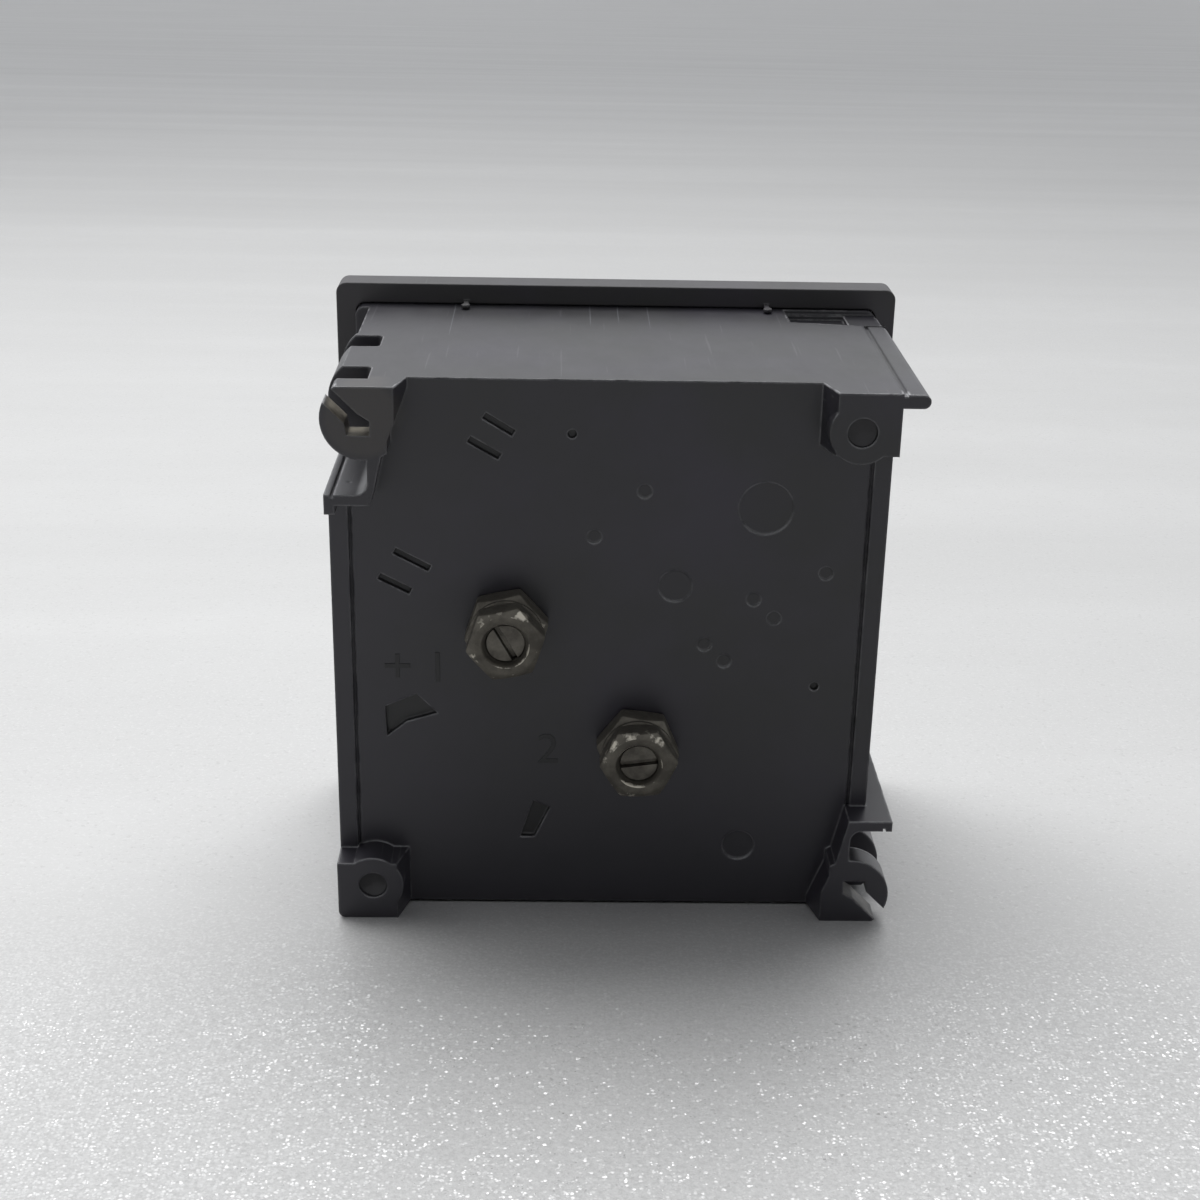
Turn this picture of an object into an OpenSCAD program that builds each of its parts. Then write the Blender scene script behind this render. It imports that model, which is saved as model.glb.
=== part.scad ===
// Square panel ammeter with a moving-coil movement, seen from its dial side along +Y.
// The origin is the centre of the panel face, the plane in which the front frame
// seats on its panel: the dial looks towards -Y, the terminals stand out towards +Y.

/* [Front frame] */
// Outside width and height of the front frame
frame_size = 96; // [80:1:120]
// Depth of the front frame in front of the panel
frame_depth = 6; // [5.5:0.5:9]
// Corner radius of the front frame
frame_corner_r = 1.8; // [0.5:0.1:3]
// Thickness of the lip in front of the glass
lip_t = 1; // [0.8:0.1:1.6]
// Width of the lip around the dial
lip_w = 6; // [5:0.5:9]
// Reach of the corner shield from the pointer's pivot
shield_r = 22; // [19:0.5:26]
// Thickness of the window glass
glass_t = 1.8; // [1.2:0.1:2.2]
// Thickness of the window seal
seal_t = 0.8; // [0.4:0.1:1]

/* [Housing] */
// Width of the sealing flange that the frame keeps outside the housing
flange_w = 3.5; // [3:0.1:6]
// Depth of the housing behind the panel, without its corner blocks
body_depth = 48; // [44:0.5:60]
// Height of the four corner blocks over the rear wall
block_h = 5.4; // [4:0.1:8]
// Wall thickness of the housing
wall = 2.2; // [1.6:0.1:2.6]
// Play between the housing and the frame around it
frame_play = 0.12; // [0.05:0.01:0.3]
// Depth of the long recess in the side wall
side_in = 3.6; // [2.4:0.1:5]
// Length of the full-width front part of the housing
collar_d = 11.6; // [9:0.1:14]

/* [Clamp sockets] */
// Radius of the round hook lugs
lug_r = 6.3; // [5.8:0.1:7]
// Depth of the channel beside the lugs
channel_in = 6.6; // [5.6:0.1:7.2]
// Height of the channel at the corner
channel_h = 16.6; // [15.5:0.1:20]
// Thickness of the fin that closes the channel
fin_t = 1.7; // [1.4:0.1:3]
// Width of each hook gap between the lugs
hook_gap = 7; // [6:0.1:8]
// Thickness of the rearmost hook plate
hook_plate_t = 4.6; // [3:0.1:6]
// Width of the slanted entry of the hook plate
entry_w = 2.4; // [1.6:0.1:2.8]

/* [Terminals] */
// Radius of the terminal studs
stud_r = 3; // [2.5:0.25:4]
// Width across the flats of the terminal nuts
nut_af = 10.8; // [9:0.1:13]
// Height of the clamped base nut
base_nut_h = 3.6; // [2.5:0.1:5]
// Height of the outer nut
top_nut_h = 4; // [3:0.1:6]
// Thickness of the washer between the nuts
washer_t = 0.8; // [0.5:0.1:1.5]
// Radial clearance of a stud in its holes
stud_play = 0.25; // [0.1:0.05:0.5]

/* [Movement] */
// Distance of the pointer's pivot from the housing's two near walls
pivot_in = 21; // [20:0.5:26]
// Length of the pointer from its pivot
pointer_len = 55; // [40:1:58]
// Outside radius of the soft-iron yoke ring
yoke_r = 14; // [13.6:0.1:14.5]
// Inside radius of the yoke ring
yoke_bore_r = 11; // [10.7:0.1:11.4]
// Length of the yoke ring
yoke_l = 14; // [10:0.5:18]
// Radius of the core magnet
core_r = 7.8; // [6.5:0.1:8]
// Radial gap between the core magnet and the coil frame
core_gap = 0.8; // [0.5:0.05:1]
// Width of the coil frame across its legs
coil_w = 5; // [3.5:0.1:5.5]
// Clearance of a shaft in its bearing
running_fit = 0.05; // [0.02:0.01:0.1]

/* [Zero setting] */
// Distance of the zero screw from the pointer's pivot
zero_l = 13; // [12:0.5:15]
// Throw of the eccentric pin
zero_e = 1; // [0.6:0.1:1.2]
// Radius of the zero screw's head
zero_r = 3; // [2.4:0.1:3.4]
// Side play of the eccentric pin in its fork
fork_play = 0.2; // [0.15:0.05:0.3]

/* [Hidden] */
$fn = 64;

// Half widths of the frame, the housing and the housing's cavity
fh = frame_size / 2;
bh = fh - flange_w;
ch = bh - wall;
block_y = body_depth + block_h;
floor_y = body_depth - wall - 0.4;
// Depths of the front pieces, from the glass to the dial
lip_y = -frame_depth + lip_t;
glass_y = lip_y + glass_t;
rim_y = glass_y + seal_t;
dial_y = 0.2;
dial_t = 0.8;
carrier_t = 2;
notch_y = dial_y + dial_t + 0.2;
socket_y = notch_y + 1.8;
open_h = fh - lip_w;
// Pivot of the pointer in the corner under the shield
px = bh - pivot_in;
pz = -px;
// Depths of the movement
frame_y = 7;
frame_t = 2;
yoke_y = frame_y + frame_t;
yoke_end = yoke_y + yoke_l;
core_y = yoke_y + 0.5;
core_l = yoke_l - 1;
coil_in = core_r + core_gap;
former_t = 0.4;
coil_t = 1;
coil_out = coil_in + former_t + coil_t;
coil_y0 = yoke_y - 1.2;
coil_y1 = yoke_end + 1.2;
bolt_at = (yoke_r + yoke_bore_r) / 2;
bolt_r = 0.8;
bridge_y = 1.6;
bridge_t = 1.6;
rear_y = yoke_end + 4.2;
staff_r = 0.5;
jewel_r = 1.5;
jewel_y = 3.95;
jewel_yr = coil_y1 + 2.6;
cross_y = 4.9;
lever_y = 3.35;
lever_t = 0.4;
needle_y = -1.5;
needle_t = 0.3;
crank_at = 5.6;
// End of the tail weight, far enough out to balance the pointer
tail_end = 9.5;
spring_r = 4;
stud_at = spring_r + 0.43;
// Screw column axes in two corners, and the ears of the movement frame
column_a = [-(bh - side_in - 5.7), bh - 6];
column_b = [bh - 5.7, -(bh - 6)];
column_r = 4.9;
column_bore = 2.25;
column_y = 9;
carrier_screw_r = 1.25;
ear_r = 18.4;
ear_angles = [37, 135, 233];
// Round lug centre in the clamp corner, and the depths of its bands
lug_c = [bh - 6.1, bh - 4.9];
wall_x = bh - channel_in;
plate_y = block_y - hook_plate_t;
gap_b = plate_y - hook_gap;
gap_a = gap_b - 12.2;
band_y = gap_a - hook_gap;
// Terminal positions from the pivot, and the depths of their stacks
term_a = [px - 6.1, pz + 28.3];
term_b = [px - 27, pz + 8.1];
panel_y = body_depth - 0.4;
washer_y = panel_y + base_nut_h;
nut_y = washer_y + washer_t;
stud_y = nut_y + top_nut_h - 1.2;
zero_p = [px + zero_l * cos(45), pz - zero_l * sin(45)];
strip_y = floor_y - 7.2;
// Dial, its two fixing points and the pointer's stops
dial_h = ch - 0.3;
pad_r = 2.6;
dial_screw = [ch - channel_in - 0.3 - pad_r, dial_h - 3.2];
dial_points = [dial_screw, -dial_screw];
stop_r = 0.5;
stop_at = 46;
stop_swing = 3 + asin((stop_r + 0.42) / stop_at);
stop_angles = [180 + stop_swing, 90 - stop_swing];

// Extrudes a drawing in X and Z from depth y0 to depth y1
module along_y(y0, y1) {
    translate([0, y1, 0]) rotate([90, 0, 0]) linear_extrude(y1 - y0) children();
}

// Straight round bar along Y at p
module bar(p, y0, y1, r, fn = 64) {
    translate([p[0], y1, p[1]]) rotate([90, 0, 0]) cylinder(r = r, h = y1 - y0, $fn = fn);
}

// Straight six-sided bar along Y at p, flats af apart
module hex_bar(p, y0, y1, af, turn = 0) {
    translate([p[0], y1, p[1]]) rotate([90, 0, 0]) rotate([0, 0, turn])
        cylinder(r = af / 2 / cos(30), h = y1 - y0, $fn = 6);
}

// Cone along Y at p, radius r0 at y0 and r1 at y1
module cone(p, y0, y1, r0, r1) {
    translate([p[0], y1, p[1]]) rotate([90, 0, 0]) cylinder(r1 = r1, r2 = r0, h = y1 - y0, $fn = 64);
}

// Square with round corners, centred
module round_square(h, r) {
    union() {
        square([2 * h, 2 * (h - r)], center = true);
        square([2 * (h - r), 2 * h], center = true);
        for (sx = [-1, 1], sz = [-1, 1]) translate([sx * (h - r), sz * (h - r)]) circle(r = r, $fn = 48);
    }
}

// Point at radius r and angle a around the pivot
function polar(r, a) = [px + r * cos(a), pz + r * sin(a)];

// Housing outline, o inside the outer face, with the side wall set in by s
function outline(o, s) = [
    [-bh + s + o, bh - o],
    [bh - channel_in - o, bh - o],
    [bh - channel_in - o, bh - channel_h - o],
    [bh - o, bh - channel_h - o],
    [bh - o, -bh + o],
    [-bh + channel_in + o, -bh + o],
    [-bh + channel_in + o, -bh + channel_h + o],
    [-bh + s + o, -bh + channel_h + o]];

// Clamp corner at +X and +Z: a flat-sided neck, round lugs with hook gaps between
// them, the slotted hook plate and the fin that closes the channel
module hook_corner(bead = 0) {
    intersection() {
        union() {
            intersection() {
                bar(lug_c, socket_y - 0.5, band_y, lug_r, 96);
                cube([bh - 2.4, block_y, bh]);
            }
            cone(lug_c, band_y - 7, band_y - 1, bh - 2.5 - lug_c[0], lug_r);
            bar(lug_c, band_y - 1.01, band_y, lug_r, 96);
            bar(lug_c, gap_a, gap_b, lug_r, 96);
        }
        translate([wall_x - wall / 2, 0, 0]) cube([20, block_y, bh]);
    }
    // round ends of the two gaps in the top wall
    for (q = [[band_y, 1], [gap_a, -1], [gap_b, 1]]) gap_fillet(q[0], q[1]);
    // rear block with the hook plate
    difference() {
        intersection() {
            along_y(body_depth - 0.6, block_y) union() {
                polygon([[bh - 12.8, bh], [wall_x + 0.01, bh], [wall_x + 0.01, bh - channel_h], [bh, bh - channel_h],
                         [bh, bh - channel_h - fin_t], [bh - 7, bh - channel_h - fin_t], [bh - 8.7, bh - 10.6]]);
                intersection() {
                    translate(lug_c) circle(r = lug_r, $fn = 96);
                    translate([wall_x - 3, bh - channel_h]) square([20, channel_h]);
                }
            }
            linear_extrude(bh) polygon([[bh - 12.3, body_depth - 0.6], [bh - 10.7, block_y], [bh + 2, block_y],
                                        [bh + 2, body_depth - 0.6]]);
        }
        translate([wall_x, 0, bh - channel_h]) cube([20, plate_y, 40]);
        // pocket with its slanted entry
        along_y(plate_y - 5, block_y + 1) translate([bh, bh]) {
            polygon([[-3.75, -7.4], [-7.15, -7.4], [-7.15, -5.2], [-4.6, -3.6], [-3.4, -5.4]]);
            translate([-3.6, -5.7]) rotate(45) square([12, entry_w]);
        }
    }
    // bead under the fin's edge
    if (bead > 0) along_y(socket_y, block_y) translate([bh - 1.6, bh - channel_h - fin_t - bead]) square([1.6, bead + 0.2]);
    // concave fillet along the foot of the channel wall
    along_y(socket_y, block_y) difference() {
        translate([wall_x - 0.1, bh - channel_h - 0.1]) square(2);
        translate([wall_x + 1.9, bh - channel_h + 1.9]) circle(r = 1.9, $fn = 48);
    }
}

// Fillet between the channel wall and a lug's face at depth y, on its side s
module gap_fillet(y, s) {
    r = 0.8;
    translate([wall_x, y, lug_c[1] - lug_r + 0.3]) linear_extrude(bh - lug_c[1] + lug_r - 0.3) scale([1, s]) difference() {
        translate([-0.1, -0.1]) square(r + 0.1);
        translate([r, r]) circle(r = r, $fn = 32);
    }
}

// Block over a screw column: a plate with one sloping side and the round boss
module column_block(c, x0, x1, z0, z1) {
    along_y(column_y, block_y) translate(c) circle(r = column_r);
    intersection() {
        along_y(body_depth - 0.6, block_y) translate([min(x0, x1), z0]) square([abs(x1 - x0), z1 - z0]);
        translate([0, 0, z0]) linear_extrude(z1 - z0)
            polygon([[x0, body_depth - 0.6], [x0 + sign(x1 - x0) * 1.7, block_y], [x1, block_y], [x1, body_depth - 0.6]]);
    }
}

// Small shallow mark in the rear wall
module mark(p, r, deep) {
    bar(p, panel_y - deep, body_depth + 1, r, 24);
}

// Slanted slot in the rear wall
module slant(p, a, l, w) {
    along_y(panel_y - 1, body_depth + 1) translate(p) rotate(a) square([l, w], center = true);
}

module housing() {
    color([0.13, 0.13, 0.14]) difference() {
        union() {
            difference() {
                union() {
                    // front rim around the seal, the full-width collar and the deep body
                    along_y(rim_y, socket_y) round_square(bh, 1.5);
                    along_y(socket_y - 0.1, collar_d) polygon(outline(0, 0));
                    along_y(collar_d - 0.1, body_depth) polygon(outline(0, side_in));
                }
                along_y(rim_y - 1, notch_y) round_square(ch, 0.5);
                along_y(notch_y - 0.1, collar_d - wall) polygon(outline(wall, 0));
                along_y(collar_d - wall - 0.1, floor_y) polygon(outline(wall, side_in));
                // lowered rear wall between the two rim strips, with a groove along each
                translate([-bh + side_in + 2.7, panel_y, -bh - 1]) cube([2 * bh - side_in - 5.6, 5, 2 * bh + 2]);
                for (x = [-bh + side_in + 2.7, bh - 3.4]) translate([x, panel_y - 0.5, -bh + 8]) cube([0.5, 5, 2 * bh - 18]);
            }
            // wing of the top wall, a little below it, and fin of the side wall
            intersection() {
                along_y(collar_d, block_y) union() {
                    translate([-bh + 0.6, bh - wall]) square([side_in - 1.3, wall - 0.12]);
                    translate([-bh + 0.6, bh - wall]) square([side_in + 1, wall - 0.4]);
                    translate([-bh + 0.6, bh - wall / 2 - 0.06]) circle(r = wall / 2 - 0.06, $fn = 32);
                }
                linear_extrude(bh) polygon([[-bh + 6, collar_d], [-bh, collar_d], [-bh - 0.6, collar_d + 3],
                                            [-bh - 0.6, block_y], [-bh + 6, block_y]]);
            }
            along_y(collar_d - 0.1, block_y) translate([-bh, -bh + channel_h]) square([side_in + 1, fin_t]);
            hook_corner(1.4);
            rotate([0, 180, 0]) hook_corner();
            column_block(column_a, -bh + 14.8, -bh + side_in, bh - 9.6, bh);
            column_block(column_b, bh - 11.3, bh, -bh, -bh + 9.9);
            // bosses around the terminal holes on the inside
            for (p = [term_a, term_b]) bar(p, floor_y - 1.5, floor_y + 0.5, stud_r + 2.4);
        }
        // screw columns, wide for the head and the driver, narrow for the shank
        for (p = [column_a, column_b]) {
            bar(p, column_y + 4, block_y + 1, column_bore);
            bar(p, column_y - 1, column_y + 5, carrier_screw_r + 0.25);
        }
        for (p = [term_a, term_b]) bar(p, floor_y - 5, body_depth + 1, stud_r + stud_play);
        // lowered corner of the top wall beside the frame, with its deeper pocket
        translate([-bh, 0, bh - 0.8]) linear_extrude(3)
            polygon([[15.8, 0.6], [15.8, collar_d - 2.1], [5.6, collar_d - 0.3], [0, collar_d], [-1, collar_d], [-1, 0.6]]);
        translate([-bh + 5.6, 1.2, bh - 1.6]) cube([9.6, 8.1, 3]);
        // round outer edge of the corner block beside the channel-free wall
        along_y(socket_y, block_y + 1) difference() {
            translate([bh - 1.2, -bh - 1]) square(2.2);
            translate([bh - 1.2, -bh + 1.2]) circle(r = 1.2, $fn = 32);
        }
        // grooves along the tops of the two fins
        for (s = [1, -1]) along_y(socket_y, block_y + 1) translate([s * (bh - 1.2), s * (bh - channel_h)])
            square([0.5, 1], center = true);
        // marks that the mould leaves in the rear wall
        for (p = [[7.6, 36.05], [-31.3, -5.1]]) mark(p, 0.7, 1);
        for (p = [[-3.6, 27.1], [4, 19.7], [-32, 14.1], [-21, 9.6], [-24.3, 6.5], [-13.6, 1.9], [-16.8, -0.9]])
            mark(p, 1.1, 0.35);
        for (p = [[-8.7, 11.7], [-20.5, -33.8]]) mark(p, 2.6, 0.3);
        mark([-22.2, 24.6], 4.2, 0.3);
        slant([18.6, 37.4], 31.5, 5.2, 1.1);
        slant([20.8, 33.7], 30, 5.4, 1.1);
        slant([32, 15.6], 28, 6.1, 1.1);
        slant([34.7, 11.6], 27, 5.4, 1.1);
        along_y(panel_y - 1, body_depth + 1) {
            polygon([[36.7, -9.3], [31.7, -7.1], [28.4, -10.4], [33.3, -11.9], [36.5, -14.5]]);
            polygon([[13.1, -25.9], [10.4, -27.1], [12.9, -32.5], [15.2, -32.5]]);
        }
    }
}

module bezel_frame() {
    color([0.1, 0.1, 0.11]) difference() {
        union() {
            difference() {
                along_y(-frame_depth, 0) round_square(fh, frame_corner_r);
                along_y(lip_y, 1) round_square(bh + frame_play, 1.5);
                along_y(-frame_depth - 1, lip_y + 1) square(2 * open_h, center = true);
            }
            // shield over the movement's corner, with a round free edge
            along_y(-frame_depth, lip_y) intersection() {
                union() {
                    translate([px, pz]) circle(r = shield_r, $fn = 128);
                    translate([px, pz - fh]) square([fh, fh + shield_r]);
                    translate([px - shield_r, pz - fh]) square([shield_r + 1, fh]);
                }
                square(2 * open_h + 1, center = true);
            }
            // snap fingers on the two long edges
            for (s = [-1, 1], x = [-25.7, 25.7]) translate([x, 0, s * (bh + frame_play / 2)]) snap_finger(s);
        }
        bar(zero_p, -frame_depth - 1, lip_y + 1, zero_r + running_fit);
    }
}

// Snap finger lying on the housing's wall, s is the side it lies on
module snap_finger(s) {
    h = 0.7;
    z0 = frame_play / 2;
    translate([-0.45, -1.5, s > 0 ? z0 : -z0 - h]) cube([0.9, 4.9, h]);
    translate([0, 3.2, s > 0 ? z0 : -z0 - h]) cylinder(r = 0.75, h = h, $fn = 32);
}

module window_glass() {
    color([0.8, 0.86, 0.88, 0.3]) difference() {
        along_y(lip_y, glass_y) round_square(bh, 1.5);
        bar(zero_p, lip_y - 1, glass_y + 1, zero_r + 1.15);
    }
}

module window_seal() {
    color([0.05, 0.05, 0.05]) along_y(glass_y, rim_y) difference() {
        round_square(bh, 1.5);
        round_square(ch, 0.5);
    }
}

module dial_plate() {
    color([0.93, 0.93, 0.9]) difference() {
        along_y(dial_y, dial_y + dial_t) square(2 * dial_h, center = true);
        bar([px, pz], dial_y - 1, dial_y + dial_t + 1, yoke_r + 1.5, 96);
        for (p = dial_points) bar(p, dial_y - 1, dial_y + dial_t + 1, 1.05, 32);
        for (a = stop_angles) bar(polar(stop_at, a), dial_y - 1, dial_y + dial_t + 1, stop_r, 24);
    }
}

module dial_screws() {
    color([0.7, 0.7, 0.68]) for (p = dial_points) difference() {
        union() {
            bar(p, dial_y - 0.9, dial_y, 1.9, 48);
            bar(p, dial_y - 0.1, notch_y + carrier_t, 0.9, 32);
        }
        translate([p[0] - 3, dial_y - 1.4, p[1] - 0.25]) cube([6, 1, 0.5]);
    }
}

module pointer_stops() {
    color([0.2, 0.2, 0.2]) for (a = stop_angles) bar(polar(stop_at, a), needle_y - 0.5, dial_y + dial_t, stop_r, 24);
}

module dial_carrier() {
    y0 = dial_y + dial_t;
    color([0.3, 0.3, 0.31]) difference() {
        union() {
            along_y(notch_y, notch_y + carrier_t) difference() {
                polygon(outline(wall + 0.3, 0));
                difference() {
                    square(2 * (ch - channel_in - 2), center = true);
                    translate([px, pz]) circle(r = ear_r + 6);
                    translate(column_a) circle(r = column_r);
                    translate([0, 0]) rotate(45) square([200, 5], center = true);
                }
            }
            for (p = [column_a, column_b]) bar(p, notch_y, column_y, 3.2);
            for (a = ear_angles) bar(polar(ear_r, a), notch_y, frame_y, 2.9);
            // pads that carry the dial
            for (p = dial_points) bar(p, y0, notch_y + carrier_t, pad_r, 48);
        }
        bar([px, pz], -1, 20, yoke_r + 0.6, 96);
        for (p = [column_a, column_b]) bar(p, notch_y - 1, column_y + 1, carrier_screw_r);
        for (a = ear_angles) bar(polar(ear_r, a), notch_y - 1, frame_y + 1, 1, 32);
        for (p = dial_points) bar(p, -1, 20, 0.9, 32);
    }
}

module carrier_screws() {
    color([0.6, 0.6, 0.6]) for (p = [column_a, column_b]) difference() {
        union() {
            bar(p, column_y + 4, column_y + 6, column_bore - 0.2);
            bar(p, notch_y, column_y + 4.1, carrier_screw_r);
        }
        translate([p[0] - 4, column_y + 5, p[1] - 0.35]) cube([8, 2, 0.7]);
    }
}

// Casting that holds the yoke ring, and the core magnet between two arms
module movement_frame() {
    color([0.62, 0.63, 0.64]) difference() {
        union() {
            bar([px, pz], frame_y, yoke_y, yoke_r + 0.4, 96);
            for (a = ear_angles) {
                bar(polar(ear_r, a), frame_y, yoke_y, 2.9);
                along_y(frame_y, yoke_y) translate([px, pz]) rotate(a) translate([10, -2.9]) square([ear_r - 10, 5.8]);
            }
            for (a = [135, 315]) sector(a, 20, frame_y + 0.5, core_y + core_l);
        }
        bar([px, pz], frame_y - 1, core_y + core_l + 1, core_r, 96);
        for (a = [45, 225]) sector(a, 70, frame_y - 1, yoke_y + 1);
        for (a = ear_angles) bar(polar(ear_r, a), frame_y - 1, yoke_y + 1, 1.2, 32);
        for (a = [45, 225]) bar(polar(bolt_at, a), frame_y - 1, yoke_y + 1, bolt_r + 0.1, 32);
    }
}

// Sector of the yoke's bore around angle a, half of it spans h degrees
module sector(a, h, y0, y1) {
    f = 20 / cos(h / 2);
    intersection() {
        bar([px, pz], y0, y1, yoke_bore_r, 96);
        along_y(y0, y1) translate([px, pz]) polygon([[0, 0], [20 * cos(a - h), 20 * sin(a - h)],
            [f * cos(a - h / 2), f * sin(a - h / 2)], [f * cos(a + h / 2), f * sin(a + h / 2)],
            [20 * cos(a + h), 20 * sin(a + h)]]);
    }
}

module frame_screws() {
    color([0.7, 0.7, 0.66]) for (a = ear_angles) difference() {
        union() {
            bar(polar(ear_r, a), yoke_y, yoke_y + 1.4, 1.9, 48);
            bar(polar(ear_r, a), notch_y + 0.5, yoke_y + 0.1, 1, 32);
        }
        translate([polar(ear_r, a)[0] - 3, yoke_y + 0.7, polar(ear_r, a)[1] - 0.25]) cube([6, 1, 0.5]);
    }
}

module yoke_ring() {
    color([0.45, 0.45, 0.46]) difference() {
        bar([px, pz], yoke_y, yoke_end, yoke_r, 96);
        bar([px, pz], yoke_y - 1, yoke_end + 1, yoke_bore_r, 96);
        for (a = [45, 225]) bar(polar(bolt_at, a), yoke_y - 1, yoke_end + 1, bolt_r + 0.1, 32);
    }
}

module core_magnet() {
    color([0.35, 0.35, 0.37]) bar([px, pz], core_y, core_y + core_l, core_r, 96);
}

// Strap across the pivot with a foot at each end, foot from y0 to y1, strap at ys,
// and a short arm at angle arm_a when arm_l is more than zero
module bridge(ys, y0, y1, arm_a = 0, arm_l = 0) {
    difference() {
        union() {
            for (a = [45, 225]) bar(polar(bolt_at, a), y0, y1, 1.5, 48);
            along_y(ys, ys + bridge_t) translate([px, pz]) rotate(45) square([2 * bolt_at, 3.4], center = true);
            bar([px, pz], ys, ys + bridge_t, 3, 48);
            if (arm_l > 0) along_y(ys, ys + bridge_t) translate([px, pz]) rotate(arm_a) translate([0, -0.8]) square([arm_l, 1.6]);
        }
        for (a = [45, 225]) bar(polar(bolt_at, a), min(y0, ys) - 1, max(y1, ys + bridge_t) + 1, bolt_r + 0.1, 32);
        bar([px, pz], ys - 1, ys + bridge_t + 1, jewel_r, 48);
    }
}

module front_bridge() {
    color([0.75, 0.66, 0.4]) bridge(bridge_y, bridge_y, frame_y);
}

module rear_bridge() {
    color([0.75, 0.66, 0.4]) {
        bridge(rear_y, yoke_end, rear_y + bridge_t, 315, spring_r + 1.4);
        // stud that holds the outer end of the rear spring
        bar(polar(stud_at, 315), jewel_yr - 1.3, rear_y + 0.1, 0.35, 24);
    }
}

module bridge_bolts() {
    color([0.65, 0.65, 0.65]) for (a = [45, 225]) {
        difference() {
            bar(polar(bolt_at, a), bridge_y - 1.2, bridge_y, 1.5, 48);
            translate([polar(bolt_at, a)[0] - 3, bridge_y - 1.7, polar(bolt_at, a)[1] - 0.2]) cube([6, 1, 0.4]);
        }
        bar(polar(bolt_at, a), bridge_y - 0.1, rear_y + bridge_t + 2, bolt_r, 32);
        difference() {
            hex_bar(polar(bolt_at, a), rear_y + bridge_t, rear_y + bridge_t + 1.4, 3);
            bar(polar(bolt_at, a), rear_y, rear_y + bridge_t + 2, bolt_r - 0.05, 32);
        }
    }
}

// Bearing screw with its jewel cup, the cup opens towards the movement
module jewel_screw_front() {
    color([0.8, 0.7, 0.42]) difference() {
        union() {
            bar([px, pz], bridge_y - 1.6, jewel_y, jewel_r, 48);
            hex_bar([px, pz], bridge_y - 0.9, bridge_y, 4.4);
        }
        translate([px - 3, bridge_y - 2.2, pz - 0.2]) cube([6, 1, 0.4]);
        cone([px, pz], jewel_y - 0.6, jewel_y + 0.01, 0.08, 0.75);
    }
}

module jewel_screw_rear() {
    color([0.8, 0.7, 0.42]) difference() {
        union() {
            bar([px, pz], jewel_yr, rear_y + bridge_t + 1.6, jewel_r, 48);
            hex_bar([px, pz], rear_y + bridge_t, rear_y + bridge_t + 0.9, 4.4);
        }
        translate([px - 3, rear_y + bridge_t + 1.2, pz - 0.2]) cube([6, 1, 0.4]);
        cone([px, pz], jewel_yr - 0.01, jewel_yr + 0.6, 0.75, 0.08);
    }
}

// Closed rectangular loop around the core magnet, legs at radius r0 to r1
module coil_loop(r0, r1, w, y0, y1, t) {
    translate([px, 0, pz]) difference() {
        translate([-w / 2, y0, -r1]) cube([w, y1 - y0, 2 * r1]);
        translate([-w / 2 - 1, y0 + t, -r0]) cube([w + 2, y1 - y0 - 2 * t, 2 * r0]);
    }
}

module coil_former() {
    color([0.78, 0.78, 0.8]) coil_loop(coil_in, coil_in + former_t, coil_w, coil_y0, coil_y1, former_t);
}

module coil_winding() {
    color([0.65, 0.33, 0.15]) difference() {
        coil_loop(coil_in + former_t, coil_out, coil_w - 0.8, coil_y0 - 0.9, coil_y1 + 0.9, 0.9);
        // room for the two pivot bases
        bar([px, pz], coil_y0 - 2, coil_y0, 1.2, 32);
        bar([px, pz], coil_y1, coil_y1 + 2, 1.2, 32);
    }
}

module pivot_front() {
    color([0.72, 0.74, 0.76]) {
        bar([px, pz], cross_y + 0.5, coil_y0, 1.2, 32);
        bar([px, pz], jewel_y + 0.2, cross_y + 0.6, staff_r, 32);
        cone([px, pz], jewel_y - 0.5, jewel_y + 0.2, 0.05, staff_r);
        // collet of the front spring
        difference() {
            bar([px, pz], lever_y + 0.95, cross_y, 0.85, 32);
            bar([px, pz], lever_y, cross_y + 1, staff_r - 0.05, 32);
        }
    }
}

module pivot_rear() {
    color([0.72, 0.74, 0.76]) {
        bar([px, pz], coil_y1, coil_y1 + 1.2, 1.2, 32);
        bar([px, pz], coil_y1 + 1.1, jewel_yr - 0.6, 0.85, 32);
        bar([px, pz], jewel_yr - 0.7, jewel_yr - 0.2, staff_r, 32);
        cone([px, pz], jewel_yr - 0.2, jewel_yr + 0.5, staff_r, 0.05);
    }
}

// Pointer at its zero mark, with the balance cross behind the bridge
module pointer() {
    arm = 8;
    tail = tail_end + 0.5;
    color([0.06, 0.06, 0.06]) {
        difference() {
            union() {
                bar([px, pz], cross_y, cross_y + 0.5, 1.7, 32);
                along_y(cross_y, cross_y + 0.3) translate([px, pz]) union() {
                    translate([-crank_at - 0.35, -0.4]) square([crank_at + 0.35 + tail, 0.8]);
                    translate([-0.3, -arm]) square([0.6, 2 * arm]);
                }
            }
            bar([px, pz], cross_y - 1, cross_y + 1, staff_r, 32);
        }
        translate([px - crank_at - 0.35, needle_y, pz - 0.4]) cube([0.7, cross_y + 0.3 - needle_y, 0.8]);
        along_y(needle_y, needle_y + needle_t) translate([px, pz])
            polygon([[-crank_at, -0.4], [-pointer_len + 9, -0.4], [-pointer_len + 7, -0.22], [-pointer_len, -0.12],
                     [-pointer_len, 0.12], [-pointer_len + 7, 0.22], [-pointer_len + 9, 0.4], [-crank_at, 0.4]]);
    }
}

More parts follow.
